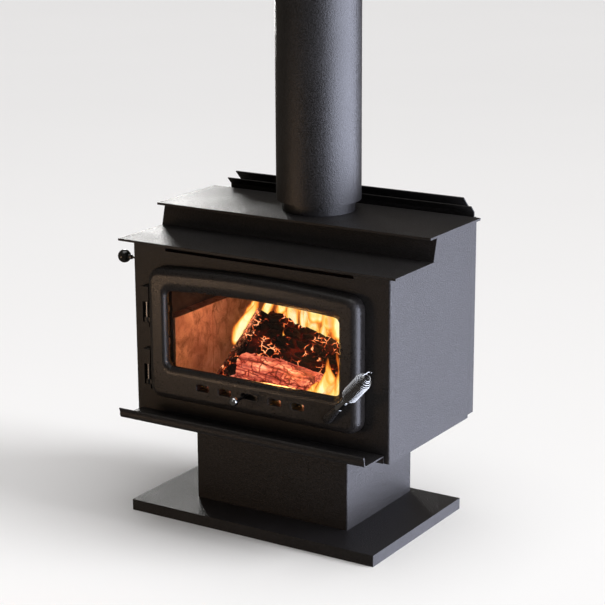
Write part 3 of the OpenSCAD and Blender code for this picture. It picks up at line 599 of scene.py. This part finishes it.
def door_casting():
    """Rolled edge, flared window with its rebate, rope groove, ports, pockets and hinge lugs."""
    edge, flare = 17, 12.5
    rings = [door_ring(0, THICK)]
    for i in range(15):
        a = math.pi / 2 * (1 - i / 14)
        rings.append(door_ring(edge * (1 - math.sin(a)), edge * (1 - math.cos(a))))
    for i in range(13):
        a = math.pi / 2 * i / 12
        rings.append(window_ring(1 - math.sin(a), 0, flare * (1 - math.cos(a))))
    rings += [window_ring(0, 0, 13), window_ring(0, 9, 13), window_ring(0, 9, THICK),
              door_ring(16.5, THICK), door_ring(16.5, 23), door_ring(7.5, 23),
              door_ring(7.5, THICK)]
    mesh = mesh_from("door_casting", *bridge(rings, loop=True))
    mesh = cut(mesh, *box_solid(-158, 158, -150.3, -140, 284.5, 310.5))
    ports = [rounded_cut(x, 297.5, 30, 13.5, 4) for x in (-115, -60.5, 60.5, 115)]
    ports.append(rounded_cut(0, 298.5, 40, 11, 4.5))
    ports.append(lathe([(-1, 5.05), (31, 5.05)], (188 * MM, DOOR_Y, 287 * MM), (0, 1, 0)))
    mesh = cut(mesh, *joined(ports))
    clips = ((-209, 380, 0), (-209, 450, 0), (209, 380, 180), (209, 450, 180),
             (-90, 498.5, -90), (90, 498.5, -90))
    mesh = cut(mesh, *joined([clip_pocket(x, z, turn) for x, z, turn in clips]))
    for foot in (415.3, 280.8):
        pin = (-264 * MM, -156 * MM, foot * MM)
        knuckle = lathe([(0.0, 6.1), (0.4, 6.5), (9.6, 6.5), (10, 6.1)], pin, (0, 0, 1))
        lug = box_solid(-264, -247, -160, -152, foot, foot + 10)
        mesh = cut(mesh, *knuckle, operation="UNION")
        mesh = cut(mesh, *lug, operation="UNION")
        mesh = cut(mesh, *lathe([(-1, 3.05), (11, 3.05)], pin, (0, 0, 1)))
    bm = bmesh.new()
    bm.from_mesh(mesh)
    bmesh.ops.remove_doubles(bm, verts=bm.verts, dist=1e-6)
    bmesh.ops.dissolve_degenerate(bm, dist=1e-6, edges=bm.edges)
    bm.to_mesh(mesh)
    bm.free()
    ob = new_piece("door_casting", mesh, "door", "door_casting", replaces=("door_frame",))
    smooth_by_weight(ob, 38)


door_casting()


# -------------------- handle
# The handle's own frame: X along it from the spindle, Y towards the door.
HANDLE = (Matrix.Translation((188 * MM, -178 * MM, 287 * MM))
          @ Matrix.Rotation(math.radians(-45), 4, "Y")
          @ Matrix.Rotation(math.radians(-16.5), 4, "Z"))


def in_handle(x, y, z):
    return HANDLE @ Vector((x * MM, y * MM, z * MM))


def handle_lever():
    """Cast lever: a rounded foot on the door, a waist with soft corners, a neck at the ferrule.

    A section is its place along the handle, its half sizes and how square it is.
    """
    sections = [(-10.2, 1.5, 1.5, 2.2), (-9.8, 4.2, 4.0, 2.2), (-8.3, 6.8, 6.0, 2.4),
                (-5.5, 8.6, 7.2, 2.7), (-1.0, 9.4, 7.7, 3.0), (6.0, 9.4, 7.6, 3.2),
                (16.0, 8.9, 7.1, 3.4), (27.0, 8.0, 6.7, 3.4), (37.0, 7.0, 6.4, 3.0),
                (43.0, 6.5, 6.3, 2.5), (46.0, 6.3, 6.3, 2.0), (47.0, 6.2, 6.2, 2.0)]
    clear_of_door = -174.35 * MM
    rings = []
    for x, half_z, half_y, power in sections:
        ring = []
        for k in range(40):
            a = 2 * math.pi * k / 40
            c, s = math.cos(a), math.sin(a)
            reach = (abs(c) ** power + abs(s) ** power) ** (-1 / power)
            point = in_handle(x, half_y * reach * s, half_z * reach * c)
            point.y = min(point.y, clear_of_door)
            ring.append(point)
        rings.append(ring)
    collar = lathe([(0.2, 9.6), (2.2, 9.6), (3.4, 9.0), (3.6, 1)],
                   (188 * MM, -174.1 * MM, 287 * MM), (0, -1, 0))
    mesh = mesh_from("lever_cast", *joined([bridge(rings), collar]))
    ob = new_piece("lever_cast", mesh, "handle", SLOT_OF["handle_lever"], CAST_BLACK,
                   ("handle_lever",))
    smooth_by_weight(ob, 50)


def handle_ferrule():
    """Turned ferrule: chamfered ends, a groove near each, and the sleeve that the wire is on, in
    black paint as painted shade between the turns.
    """
    start = in_handle(47, 0, 0)
    axis = in_handle(48, 0, 0) - start
    sleeve_from = 34
    profile = [(0, 5.9), (0, 7.4), (0.7, 8.0), (3.2, 8.0), (3.6, 7.55), (4.4, 7.55), (4.8, 8.0),
               (28.6, 8.0), (29.0, 7.6), (29.8, 7.6), (30.2, 8.0), (33.2, 8.0), (34, 7.2),
               (sleeve_from, 5.5), (111, 5.5), (112, 4.6), (112, 0)]
    mesh = mesh_from("ferrule_turned", *lathe(profile, start, axis))
    ob = new_piece("ferrule_turned", mesh, "handle", SLOT_OF["handle_ferrule"],
                   replaces=("handle_ferrule",))
    # The sleeve under the wire takes the black cast paint: painted shade, so that the gaps between
    # the turns read dark.
    ob.data.materials.append(CAST_BLACK)
    for polygon in ob.data.polygons:
        if (polygon.center - start).dot(axis.normalized()) > sleeve_from * MM:
            polygon.material_index = 1
    smooth_by_weight(ob, 30)


def coil_grip():
    """The wound grip: one wire from the neck, along the grip and round the nose to a short tail."""
    pitch, nose_pitch, start, wire = 4.4, 2.6, 82.6, 1.4
    radii = [7.1, 9.3, 11.5, 13.7] + [15.9] * 14 + [13.7, 10.8, 7.95]
    end_turn, end_angle, per_turn = 20.95, math.radians(61), 40
    path = []
    steps = int(end_turn * per_turn)
    for i in range(steps + 1):
        t = end_turn * i / steps
        k = min(int(t), len(radii) - 2)
        f = min(t - k, 1.0)
        r = radii[k] + (radii[k + 1] - radii[k]) * (3 * f * f - 2 * f ** 3 if 3 < k < 17 else f)
        x = start + pitch * min(t, 20) + nose_pitch * max(t - 20, 0)
        a = end_angle + 2 * math.pi * (end_turn - t)
        path.append(in_handle(x, r * math.cos(a), r * math.sin(a)))
    r, x = radii[-1], start + pitch * 20 + nose_pitch * 0.95
    for i in range(1, 15):
        s = 12.0 * i / 14
        lift = 3.4 * math.sin(math.pi * s / 13.5)
        y = (r + lift) * math.cos(end_angle) + s * math.sin(end_angle)
        z = (r + lift) * math.sin(end_angle) - s * math.cos(end_angle)
        path.append(in_handle(x + 0.12 * s, y, z))
    thickness = [wire * MM] * len(path)
    thickness[0] = thickness[-1] = 0.9 * MM
    mesh = mesh_from("wound_wire", *tube(path, thickness, 10))
    new_piece("wound_wire", mesh, "handle", SLOT_OF["handle_coil"], replaces=("handle_coil",))


handle_lever()
handle_ferrule()
coil_grip()


# -------------------- control knobs
def knob(name, body, node, radius, neck, tip, axis, sides, material):
    """A turned ball on its neck; neck holds (distance from the ball's centre, radius), in mm."""
    steps = 26
    profile = [(radius - radius * math.cos(a), radius * math.sin(a))
               for a in (math.pi * (i / steps) * 0.8 for i in range(steps + 1))]
    profile += [(radius + along, r) for along, r in neck]
    mesh = mesh_from(name, *lathe(profile, [c * MM for c in tip], axis, sides))
    ob = new_piece(name, mesh, body, SLOT_OF[node], material, (node,))
    smooth_by_weight(ob, 50)


knob("air_knob", "air_control", "air_ball", 9.5,
     [(8.6, 4.9), (10, 4.5), (16, 4.0), (26, 3.7), (35, 3.6), (35.8, 2.8), (36, 1)],
     (-11, -221.5, 298.5), (0, 1, 0), 40, M["bright_metal"])
knob("boost_knob", "boost_control", "boost_ball", 14,
     [(12.2, 6.6), (13.4, 5.4), (16, 4.9), (20.2, 4.7), (20.6, 4.0), (20.7, 1)],
     (-367.5, -112, 535), (1, 0, 0), 48, M["knob_black"])


# -------------------- fire
FIRE_SLOT = "fire_brick"


def fractal(p, octaves):
    return noise.fractal(p, 1.0, 2.0, octaves)


def unit(value):
    return max(0.0, min(1.0, value))


def cracks(p, width):
    """0 on the border of two Voronoi cells, rising to 1 at width from it."""
    near = noise.voronoi(p)[0]
    return min((near[1] - near[0]) / width, 1.0)


def lengthways(a, b):
    """Where a length of wood from a to b starts, its three directions and its length, in m."""
    a, b = Vector(a) * MM, Vector(b) * MM
    axis = (b - a).normalized()
    side = axis.cross(Vector((0, 0, 1))).normalized()
    return a, axis, side, side.cross(axis), (b - a).length


def taper(i, rings, cap):
    """1 along the length, falling over the cap rings past each end."""
    return 1 - max(-i, i - rings, 0) / (cap + 0.5)


def burnt_piece(name, verts, faces, burns, material):
    """A piece of the fire; burns holds each point's glow and ash."""
    mesh = mesh_from(name, verts, faces)
    layer = mesh.color_attributes.new(name="burnt", type="FLOAT_COLOR", domain="POINT")
    layer.data.foreach_set("color", [c for glow, ash in burns for c in (glow, ash, 0, 1)])
    new_piece(name, mesh, "stove", FIRE_SLOT, material)


def grid_faces(columns, rows):
    corners = (j * (columns + 1) + i for j in range(rows) for i in range(columns))
    return [(a, a + 1, a + columns + 2, a + columns + 1) for a in corners]


def burnt_log(name, a, b, r0, r1, seed, chunk, deep, glow_and_lit_side, ash, glow,
              ash_side=(0, 0, 0.7), rings=120, around=96):
    """A split log burnt into chunks: cracks cut across the grain, hollowed at its ends.

    r0 and r1 are its radii at a and b, chunk the distance between cracks, deep their depth in m.
    """
    a, axis, side, rise, length = lengthways(a, b)
    shift = Vector((seed * 3.7, seed * 1.3, seed * 5.1))
    glow_and_lit_side, ash_side = Vector(glow_and_lit_side), Vector(ash_side)
    rows, burns = [], []
    cap = 14
    for i in range(-cap, rings + cap + 1):
        t = min(max(i / rings, 0), 1)
        inner = taper(i, rings, cap)
        ring = []
        for j in range(around):
            phi = 2 * math.pi * j / around
            c, s = math.cos(phi), math.sin(phi)
            r = (r0 + (r1 - r0) * t) * MM
            facet = (phi + 0.5 * seed) % (2 * math.pi / 3) - math.pi / 3
            wedge = 1.0 / max(abs(math.cos(facet)), 0.5) * 0.72
            base = side * c + rise * s
            p = a + axis * length * t + base * r
            coarse = fractal(p * 13 + shift, 3)
            r *= (0.55 + 0.45 * wedge) * (1 + 0.16 * coarse)
            along = length * t / MM / chunk
            k = cracks(Vector((along, 2.1 * c + 0.8 * coarse, 2.1 * s)) + shift, 0.22)
            split = cracks(Vector((along * 0.35 + 9, 3.4 * c, 3.4 * s)) + shift, 0.22)
            hollow = deep * (1 - k) ** 1.6 + 0.7 * deep * (1 - split) ** 2
            fine = fractal(p * 95 + shift, 3)
            r = r - hollow + 0.0016 * fine
            point = a + axis * length * t + base * r * inner
            heat = (1 - k) * 0.9 + 0.35 * (1 - split)
            if inner < 1.0:
                edge = cracks((a + base * r * inner) * 62 + shift, 0.35)
                sink = (0.004 + 0.014 * edge) * (1 if i < 0 else 0.5) * min((1 - inner) * 3, 1)
                point += axis * sink * (1 if i < 0 else -1)
                heat = 0.85 * edge
            mask = unit(0.5 + 1.4 * fractal(p * 16 + shift * 2, 2))
            # The glow is strongest on the given side: partly ember glow, partly painted flame light
            # falling on that side.
            mask *= unit(0.35 + base.dot(glow_and_lit_side))
            ring.append(point)
            dust = unit((fine + 0.2) * 1.3 + 0.8 * base.dot(ash_side)) * ash
            burns.append((unit(heat * mask * glow * 1.6), dust * k))
        rows.append(ring)
    burnt_piece(name, *bridge(rows), burns, CHAR)


def coal_block(name, a, b, half_depth, height, seed, blocks, ash, glow, rings=110, around=88):
    """Wood burnt through to coal: a rounded box section, cracked into blocks both ways."""
    a, axis, side, rise, length = lengthways(a, b)
    shift = Vector((seed * 2.3, seed * 4.1, seed * 1.9))
    rows, burns = [], []
    cap = 10
    for i in range(-cap, rings + cap + 1):
        t = min(max(i / rings, 0), 1)
        inner = taper(i, rings, cap)
        ring = []
        for j in range(around):
            phi = 2 * math.pi * j / around
            c, s = math.cos(phi), math.sin(phi)
            reach = (abs(c) ** 4 + abs(s) ** 4) ** -0.25
            offset = side * c * reach * half_depth * MM + rise * s * reach * height / 2 * MM
            p = a + axis * length * t + offset
            bend = fractal(p * 9 + shift, 3)
            rows_at = (s * reach * 0.5 + 0.5) * blocks[1] + 0.45 * bend
            stagger = math.floor(rows_at) * 0.37
            cols_at = t * blocks[0] + stagger + 0.3 * fractal(p * 14 + shift * 3, 2)
            d_row = abs(rows_at - round(rows_at))
            d_col = abs(cols_at - round(cols_at))
            gap = min(min(d_row / 0.09, d_col / 0.06), 1.0)
            small = cracks(Vector((t * blocks[0] * 2.6, s * 3.1, c * 3.1)) + shift, 0.12)
            fine = fractal(p * 90 + shift, 3)
            shrink = (0.006 * (1 - gap) ** 1.4 + 0.0018 * (1 - small)
                      - 0.0012 * fine - 0.004 * bend)
            point = a + axis * length * t + offset * inner - offset.normalized() * shrink
            if inner < 1.0:
                point += axis * (0.006 * (1 - inner)) * (-1 if i < 0 else 1) * (0.6 + 0.8 * fine)
            ring.append(point)
            heat = (0.1 + 0.9 * gap) * (0.7 + 0.3 * small) * (0.95 + 0.35 * bend)
            burns.append((unit(heat * glow), unit(ash * (0.6 + fine)) * gap))
        rows.append(ring)
    burnt_piece(name, *bridge(rows), burns, COAL)


def ember_bed(x0, x1, y0, y1, floor_z, height, seed):
    """A heap of broken coal and ash on the firebox floor."""
    step = 3.0
    nx, ny = int((x1 - x0) / step), int((y1 - y0) / step)
    shift = Vector((seed, seed * 2, seed * 3))
    verts, burns = [], []
    for j in range(ny + 1):
        for i in range(nx + 1):
            x, y = x0 + (x1 - x0) * i / nx, y0 + (y1 - y0) * j / ny
            u, v = 2 * i / nx - 1, 2 * j / ny - 1
            dome = max(0.0, 1 - abs(u) ** 3.5) * max(0.0, 1 - abs(v) ** 3)
            p = Vector((x, y, 0)) * MM
            lump = cracks(p * 38 + shift, 0.35)
            grit = cracks(p * 110 + shift, 0.4)
            rough = fractal(p * 8 + shift, 3)
            z = floor_z + 1 + dome ** 0.6 * (height * (0.55 + 0.5 * rough) + 9 * lump + 3 * grit)
            verts.append(Vector((x, y, max(z, floor_z + 0.6))) * MM)
            heat = ((0.2 + 0.8 * lump) * (0.55 + 0.45 * grit) * (0.75 + 0.5 * rough)
                    * (0.35 + 0.65 * dome))
            burns.append((unit(heat), unit(0.5 - rough) * lump))
    faces = grid_faces(nx, ny)
    top = len(verts)
    rim = ([i for i in range(nx + 1)] + [(j + 1) * (nx + 1) - 1 for j in range(1, ny + 1)]
           + [ny * (nx + 1) + i for i in range(nx - 1, -1, -1)]
           + [j * (nx + 1) for j in range(ny - 1, 0, -1)])
    for i in rim:
        verts.append(Vector((verts[i].x, verts[i].y, floor_z * MM)))
        burns.append((0, 0))
    for k, i in enumerate(rim):
        after = (k + 1) % len(rim)
        faces.append((i, top + k, top + after, rim[after]))
    faces.append(tuple(top + k for k in range(len(rim))))
    burnt_piece("ember_bed", verts, faces, burns, COAL)


def flame(name, base, tip, width, material, seed, bulge, turn, sway=0.16, rows=26, columns=12):
    """A curved tapering sheet from base to tip, in mm, turned by turn degrees about Z."""
    base, tip = Vector(base), Vector(tip)
    draw = random.Random(seed)
    phase, beat = draw.uniform(0, 6.28), draw.uniform(0.8, 1.4)
    spine = tip - base
    height = spine.length
    across = Vector((math.cos(math.radians(turn)), math.sin(math.radians(turn)), 0))
    front = Vector((across.y, -across.x, 0))
    verts, uvs = [], []
    for j in range(rows + 1):
        v = j / rows
        centre = (base + spine * v
                  + across * sway * height * math.sin(beat * 5.5 * v + phase) * v * 0.6)
        centre += front * 0.08 * height * math.sin(4.1 * v + phase * 1.7) * v
        half = width / 2 * (0.62 + 0.55 * math.sin(math.pi * min(v * 1.35, 1.0))
                            - 0.55 * v ** 1.6)
        for i in range(columns + 1):
            u = i / columns
            s = 2 * u - 1
            verts.append((centre + across * half * s + front * bulge * half * (1 - s * s)) * MM)
            uvs.append((u, v))
    mesh = bpy.data.meshes.new(name)
    mesh.from_pydata([tuple(p) for p in verts], [], grid_faces(columns, rows))
    layer = mesh.uv_layers.new(name="UVMap")
    for loop in mesh.loops:
        layer.data[loop.index].uv = uvs[loop.vertex_index]
    new_piece(name, mesh, "stove", FIRE_SLOT, material)


def fire():
    # Each log's glow side: where its glow is strongest, partly ember glow and partly painted flame
    # light falling there.
    burnt_log("log_leaning", (-150, -50, 282), (-96, 26, 418), 17, 15, 3, chunk=22, deep=0.005,
              glow_and_lit_side=(-0.8, -0.2, 0.3), ash=1.0, glow=0.6, ash_side=(-1.3, -0.4, 0.2))
    burnt_log("log_large", (-76, 8, 376), (205, -20, 328), 54, 22, 5, chunk=46, deep=0.008,
              glow_and_lit_side=(0, -0.4, 0.6), ash=0.0, glow=0.42)
    burnt_log("log_rear", (-95, 108, 300), (190, 88, 352), 42, 36, 8, chunk=28, deep=0.007,
              glow_and_lit_side=(0, -0.4, 0.6), ash=0.3, glow=1.0, rings=90, around=72)
    # half depth, height, seed, blocks along and up, ash, glow
    coal_block("coal_upper", (-88, -52, 322), (88, -66, 306), 34, 52, 2, (4.0, 3.0), 0.15, 1.0)
    coal_block("coal_lower", (-118, -62, 277), (92, -74, 268), 36, 36, 6, (4.5, 2.2), 0.55, 1.0)
    coal_block("coal_right", (96, -40, 262), (196, -10, 268), 30, 34, 9, (2.5, 2.0), 0.3, 0.9,
               70, 64)
    ember_bed(x0=-190, x1=205, y0=-98, y1=128, floor_z=233, height=20, seed=4)
    wisps = flame_glow("flame_wisps", (40, 40, 9), 1.3, 0.0, 0.55)
    sheet = flame_glow("flame_sheet", (46, 30, 10), 1.2, -0.12, 0.3)
    solid = flame_glow("flame_core", (26, 26, 7), 1.35, 0.35, 0.6, 0.95)
    # base, tip, width, material, bulge, turn
    tongues = [
        # behind the logs, from the left
        ((-170, 30, 330), (-106, 30, 468), 42, solid, 0.30, 10),
        ((-150, 36, 356), (-96, 44, 486), 30, wisps, 0.3, 25),
        ((-112, 50, 384), (-66, 52, 486), 34, solid, 0.3, -10),
        ((-84, 60, 400), (-44, 60, 496), 34, wisps, 0.3, 20),
        ((-30, 62, 410), (-22, 60, 520), 46, wisps, 0.3, 20),
        ((12, 66, 396), (20, 60, 515), 52, solid, 0.3, 35),
        ((48, 60, 388), (66, 54, 500), 46, wisps, 0.3, 15),
        ((86, 50, 372), (92, 44, 505), 58, solid, 0.3, 30),
        ((128, 40, 352), (130, 34, 490), 54, wisps, 0.3, 40),
        ((160, 30, 340), (176, 26, 480), 48, solid, 0.3, 20),
        ((196, 24, 330), (200, 18, 470), 44, wisps, 0.3, 35),
        # in front of them, at the right
        ((84, -92, 262), (128, -88, 350), 34, wisps, 0.35, 20),
        ((112, -96, 258), (150, -92, 392), 46, solid, 0.3, 30),
        ((140, -92, 256), (172, -90, 400), 50, wisps, 0.3, 25),
        ((160, -80, 258), (196, -78, 386), 48, solid, 0.3, 30),
        ((186, -60, 262), (212, -58, 392), 42, wisps, 0.3, 30),
        # small ones on the wood
        ((-20, -20, 360), (-6, -24, 408), 18, wisps, 0.3, 20),
        ((70, -70, 292), (84, -66, 330), 14, wisps, 0.3, 20),
    ]
    for k, (base, tip, width, material, bulge, turn) in enumerate(tongues):
        flame("flame_%02d" % k, base, tip, width, material, 40 + k, bulge, turn)
    flame("flame_back_a", (-10, 128, 300), (-6, 120, 520), 210, sheet, 71, 0.12, 22, 0.02, 40, 36)
    flame("flame_back_b", (120, 118, 300), (122, 108, 512), 220, sheet, 72, 0.12, 34, 0.02, 40, 36)


fire()


# -------------------- the CAD pieces' finish
EDGE_ROUNDING = {                         # mm
    "base_pan": 2.2, "pedestal_wrap": 0.6, "pedestal_back": 0.5, "front_panel": 0.7,
    "side_panel_left": 0.6, "side_panel_right": 0.6, "ledge_plate": 0.8, "riser_plate": 0.5,
    "cooktop_plate": 0.8, "rear_shield_inner": 0.5, "rear_shield_outer": 0.5, "ash_shelf": 0.7,
    "hinge_brackets": 1.2, "floor_bricks": 1.2, "side_bricks": 1.0, "rear_bricks": 1.2,
    "brick_retainers": 0.5, "pedestal_bolts": 0.5, "shelf_bolts": 0.5, "shield_screws": 0.5,
    "latch_arm": 0.8, "baffle_plate": 0.8,
}
REPLACED = ("door_frame", "handle_lever", "handle_ferrule", "handle_coil", "air_ball", "boost_ball")
FINISH = {"flue_pipe": PIPE_PAINT, "flue_casing": PIPE_PAINT, "flue_collar": PIPE_PAINT,
          "boost_rod": CAST_BLACK}
for node, width in EDGE_ROUNDING.items():
    softened(node, width * MM)
for node, ob in NODES.items():
    if node not in EDGE_ROUNDING and node not in REPLACED:
        ob.data.materials.clear()
        ob.data.materials.append(FINISH.get(node, M[SLOT_OF[node]]))


# -------------------- stage and light
KEY_FROM = Vector((0.94, 0.33, 0.78))     # the floor's key light: from the right and behind
FLOOR_LIGHT = 1.08                        # radiance of a white floor under these lamps
KEY_LIGHT = 0.36                          # the key's part of it


def stage():
    """A wide pale floor, its colour painted greyer further back and to the left as the light's
    fall-off.
    """
    n = Nodes("studio_floor")
    along = n.add("ShaderNodeVectorMath", operation="DOT_PRODUCT")
    n.link(n.object, along.inputs[0])
    along.inputs[1].default_value = (-0.534, 0.845, 0)
    # The floor's colour carries painted shade: it darkens with distance as the light falls off, and
    # its faint blue tint is a painted cast of the bluish light.
    near, far, tint = -1.0, 11.0, (0.998, 1.0, 1.012)
    painted_falloff_tones = [(-0.8, 0.985), (-0.1, 0.965), (0.7, 0.94), (1.66, 0.905), (3.14, 0.86),
             (5.64, 0.815), (10.7, 0.79)]     # (distance in m, brightness as seen)
    base = n.ramp(n.remap(along.outputs["Value"], near, far, 0, 1),
                  [((r - near) / (far - near), [t * k / FLOOR_LIGHT for k in tint])
                   for r, t in painted_falloff_tones])
    cloud = n.noise(0.6, 2.0, 0.5)
    tone = n.mix(n.remap(cloud, 0.3, 0.7, 0, 1), base, (0.985, 0.985, 0.985), "MULTIPLY")
    n.shader(Base_Color=tone, Roughness=0.95, Specular_IOR_Level=0.1)
    size = 80
    corners = [(-size, -size, 0), (size, -size, 0), (size, size, 0), (-size, size, 0)]
    mesh = bpy.data.meshes.new("studio_floor")
    mesh.from_pydata(corners, [], [(0, 1, 2, 3)])
    mesh.materials.append(n.mat)
    ob = bpy.data.objects.new("studio_floor", mesh)
    scene.collection.objects.link(ob)
    ob.visible_glossy = False
    ob.visible_shadow = False
    return ob


FLOOR = stage()
BRIGHT = [bpy.data.objects[name] for name in ("wound_wire", "ferrule_turned", "air_knob")]
# What a lamp with that use lights: only these, or all but these. Without one it lights all.
LIT = {
    "floor": ("INCLUDE", [FLOOR]),
    "heater": ("EXCLUDE", [FLOOR, NODES["door_glass"]] + BRIGHT),
    "handle": ("INCLUDE", BRIGHT),
    "door": ("INCLUDE", [bpy.data.objects["door_casting"]]),
}


def add_light(name, kind, power, colour, use=None):
    """A lamp that the camera doesn't see; use is a row of LIT."""
    light = bpy.data.lights.new(name, kind)
    light.energy = power
    light.color = colour
    ob = bpy.data.objects.new(name, light)
    scene.collection.objects.link(ob)
    ob.visible_camera = False
    if use:
        state, listed = LIT[use]
        group = bpy.data.collections.new(name + "_lights")
        for other in listed:
            group.objects.link(other)
        ob.light_linking.receiver_collection = group
        for member in group.collection_objects:
            member.light_linking.link_state = state
    return ob


def facing(direction):
    return Vector(direction).to_track_quat("-Z", "Y").to_euler()


def sun(name, direction, strength, angle, use=None):
    """A distant lamp; angle is how wide it is in the sky, in degrees."""
    ob = add_light(name, "SUN", strength, (1, 1, 1), use)
    ob.data.angle = math.radians(angle)
    ob.rotation_euler = facing(direction)


def softbox(name, place, aim, size, power, colour, spread=180, use="heater", only_gloss=False):
    """A rectangle of light of size (width, height) at place, in metres, turned towards aim."""
    ob = add_light(name, "AREA", power, colour, use)
    ob.data.shape = "RECTANGLE"
    ob.data.size, ob.data.size_y = size
    ob.data.spread = math.radians(spread)
    ob.visible_diffuse = not only_gloss
    ob.location = place
    ob.rotation_euler = facing(Vector(aim) - Vector(place))


def fire_lamp(name, place, power, colour, size=0.03, shine=False, use=None):
    """A small lamp standing for firelight, at place in mm; shine lets surfaces mirror it."""
    ob = add_light(name, "POINT", power, colour, use)
    ob.data.shadow_soft_size = size
    ob.location = Vector(place) * MM
    ob.visible_glossy = shine


def room():
    """Dim warm light from all sides, and the even grey that the camera sees past the floor."""
    world = bpy.data.worlds.new("studio")
    world.use_nodes = True
    tree = world.node_tree
    dim = tree.nodes["Background"]
    dim.inputs["Color"].default_value = (1.0, 0.86, 0.72, 1)
    dim.inputs["Strength"].default_value = 0.12
    seen = tree.nodes.new("ShaderNodeBackground")
    seen.inputs["Color"].default_value = (0.79, 0.79, 0.79, 1)
    which = tree.nodes.new("ShaderNodeLightPath")
    blend = tree.nodes.new("ShaderNodeMixShader")
    tree.links.new(which.outputs["Is Camera Ray"], blend.inputs[0])
    tree.links.new(dim.outputs[0], blend.inputs[1])
    tree.links.new(seen.outputs[0], blend.inputs[2])
    tree.links.new(blend.outputs[0], tree.nodes["World Output"].inputs["Surface"])
    scene.world = world


def lights():
    sun("ceiling", (-0.1, -0.05, -1), 1.95, 60)
    sun("key", -KEY_FROM, KEY_LIGHT * math.pi / (KEY_FROM.z / KEY_FROM.length), 28, "floor")
    softbox("right_box", place=(2.5, 0.75, 0.15), aim=(0, 0.1, 0.4), size=(4.4, 3.4),
            power=470, colour=(0.88, 0.93, 1.15))
    softbox("right_strip", place=(1.7, -1.2, 0.45), aim=(0.2, -0.15, 0.4), size=(0.9, 1.7),
            power=14, colour=(0.94, 0.96, 1.06), use="door", only_gloss=True)
    softbox("grip_right", place=(2.2, 0.1, 0.5), aim=(0.25, -0.25, 0.4), size=(2.2, 2.2),
            power=95, colour=(0.92, 0.96, 1.08), use="handle")
    softbox("grip_front", place=(-0.2, -1.8, 1.3), aim=(0.25, -0.25, 0.4), size=(0.7, 0.5),
            power=2.6, colour=(1.0, 0.98, 0.95), use="handle")
    softbox("back_left_box", place=(-1.6, 1.6, 0.95), aim=(-0.36, 0.0, 0.62), size=(0.45, 0.4),
            power=13.5, colour=(1.0, 0.99, 0.97))
    softbox("front_fill", place=(-0.95, -1.35, 0.3), aim=(-0.12, -0.14, 0.36), size=(0.5, 0.35),
            power=0.6, colour=(1.0, 0.66, 0.42), spread=55)
    fire_lamp("fire_left", (-110, -20, 400), 0.55, (1.0, 0.36, 0.18))
    fire_lamp("fire_right", (110, -20, 420), 1.6, (1.0, 0.42, 0.16))
    fire_lamp("fire_front", (60, -95, 345), 0.6, (1.0, 0.42, 0.14))
    fire_lamp("window_glow", (30, -128, 365), 6.0, (1.0, 0.44, 0.13), 0.04, True, "door")
    for k, x in enumerate((-124, -71, 51, 107)):
        fire_lamp("port_glow_%d" % k, (x, -153.8, 293), 0.005, (1.0, 0.5, 0.14), 0.001)


room()
lights()
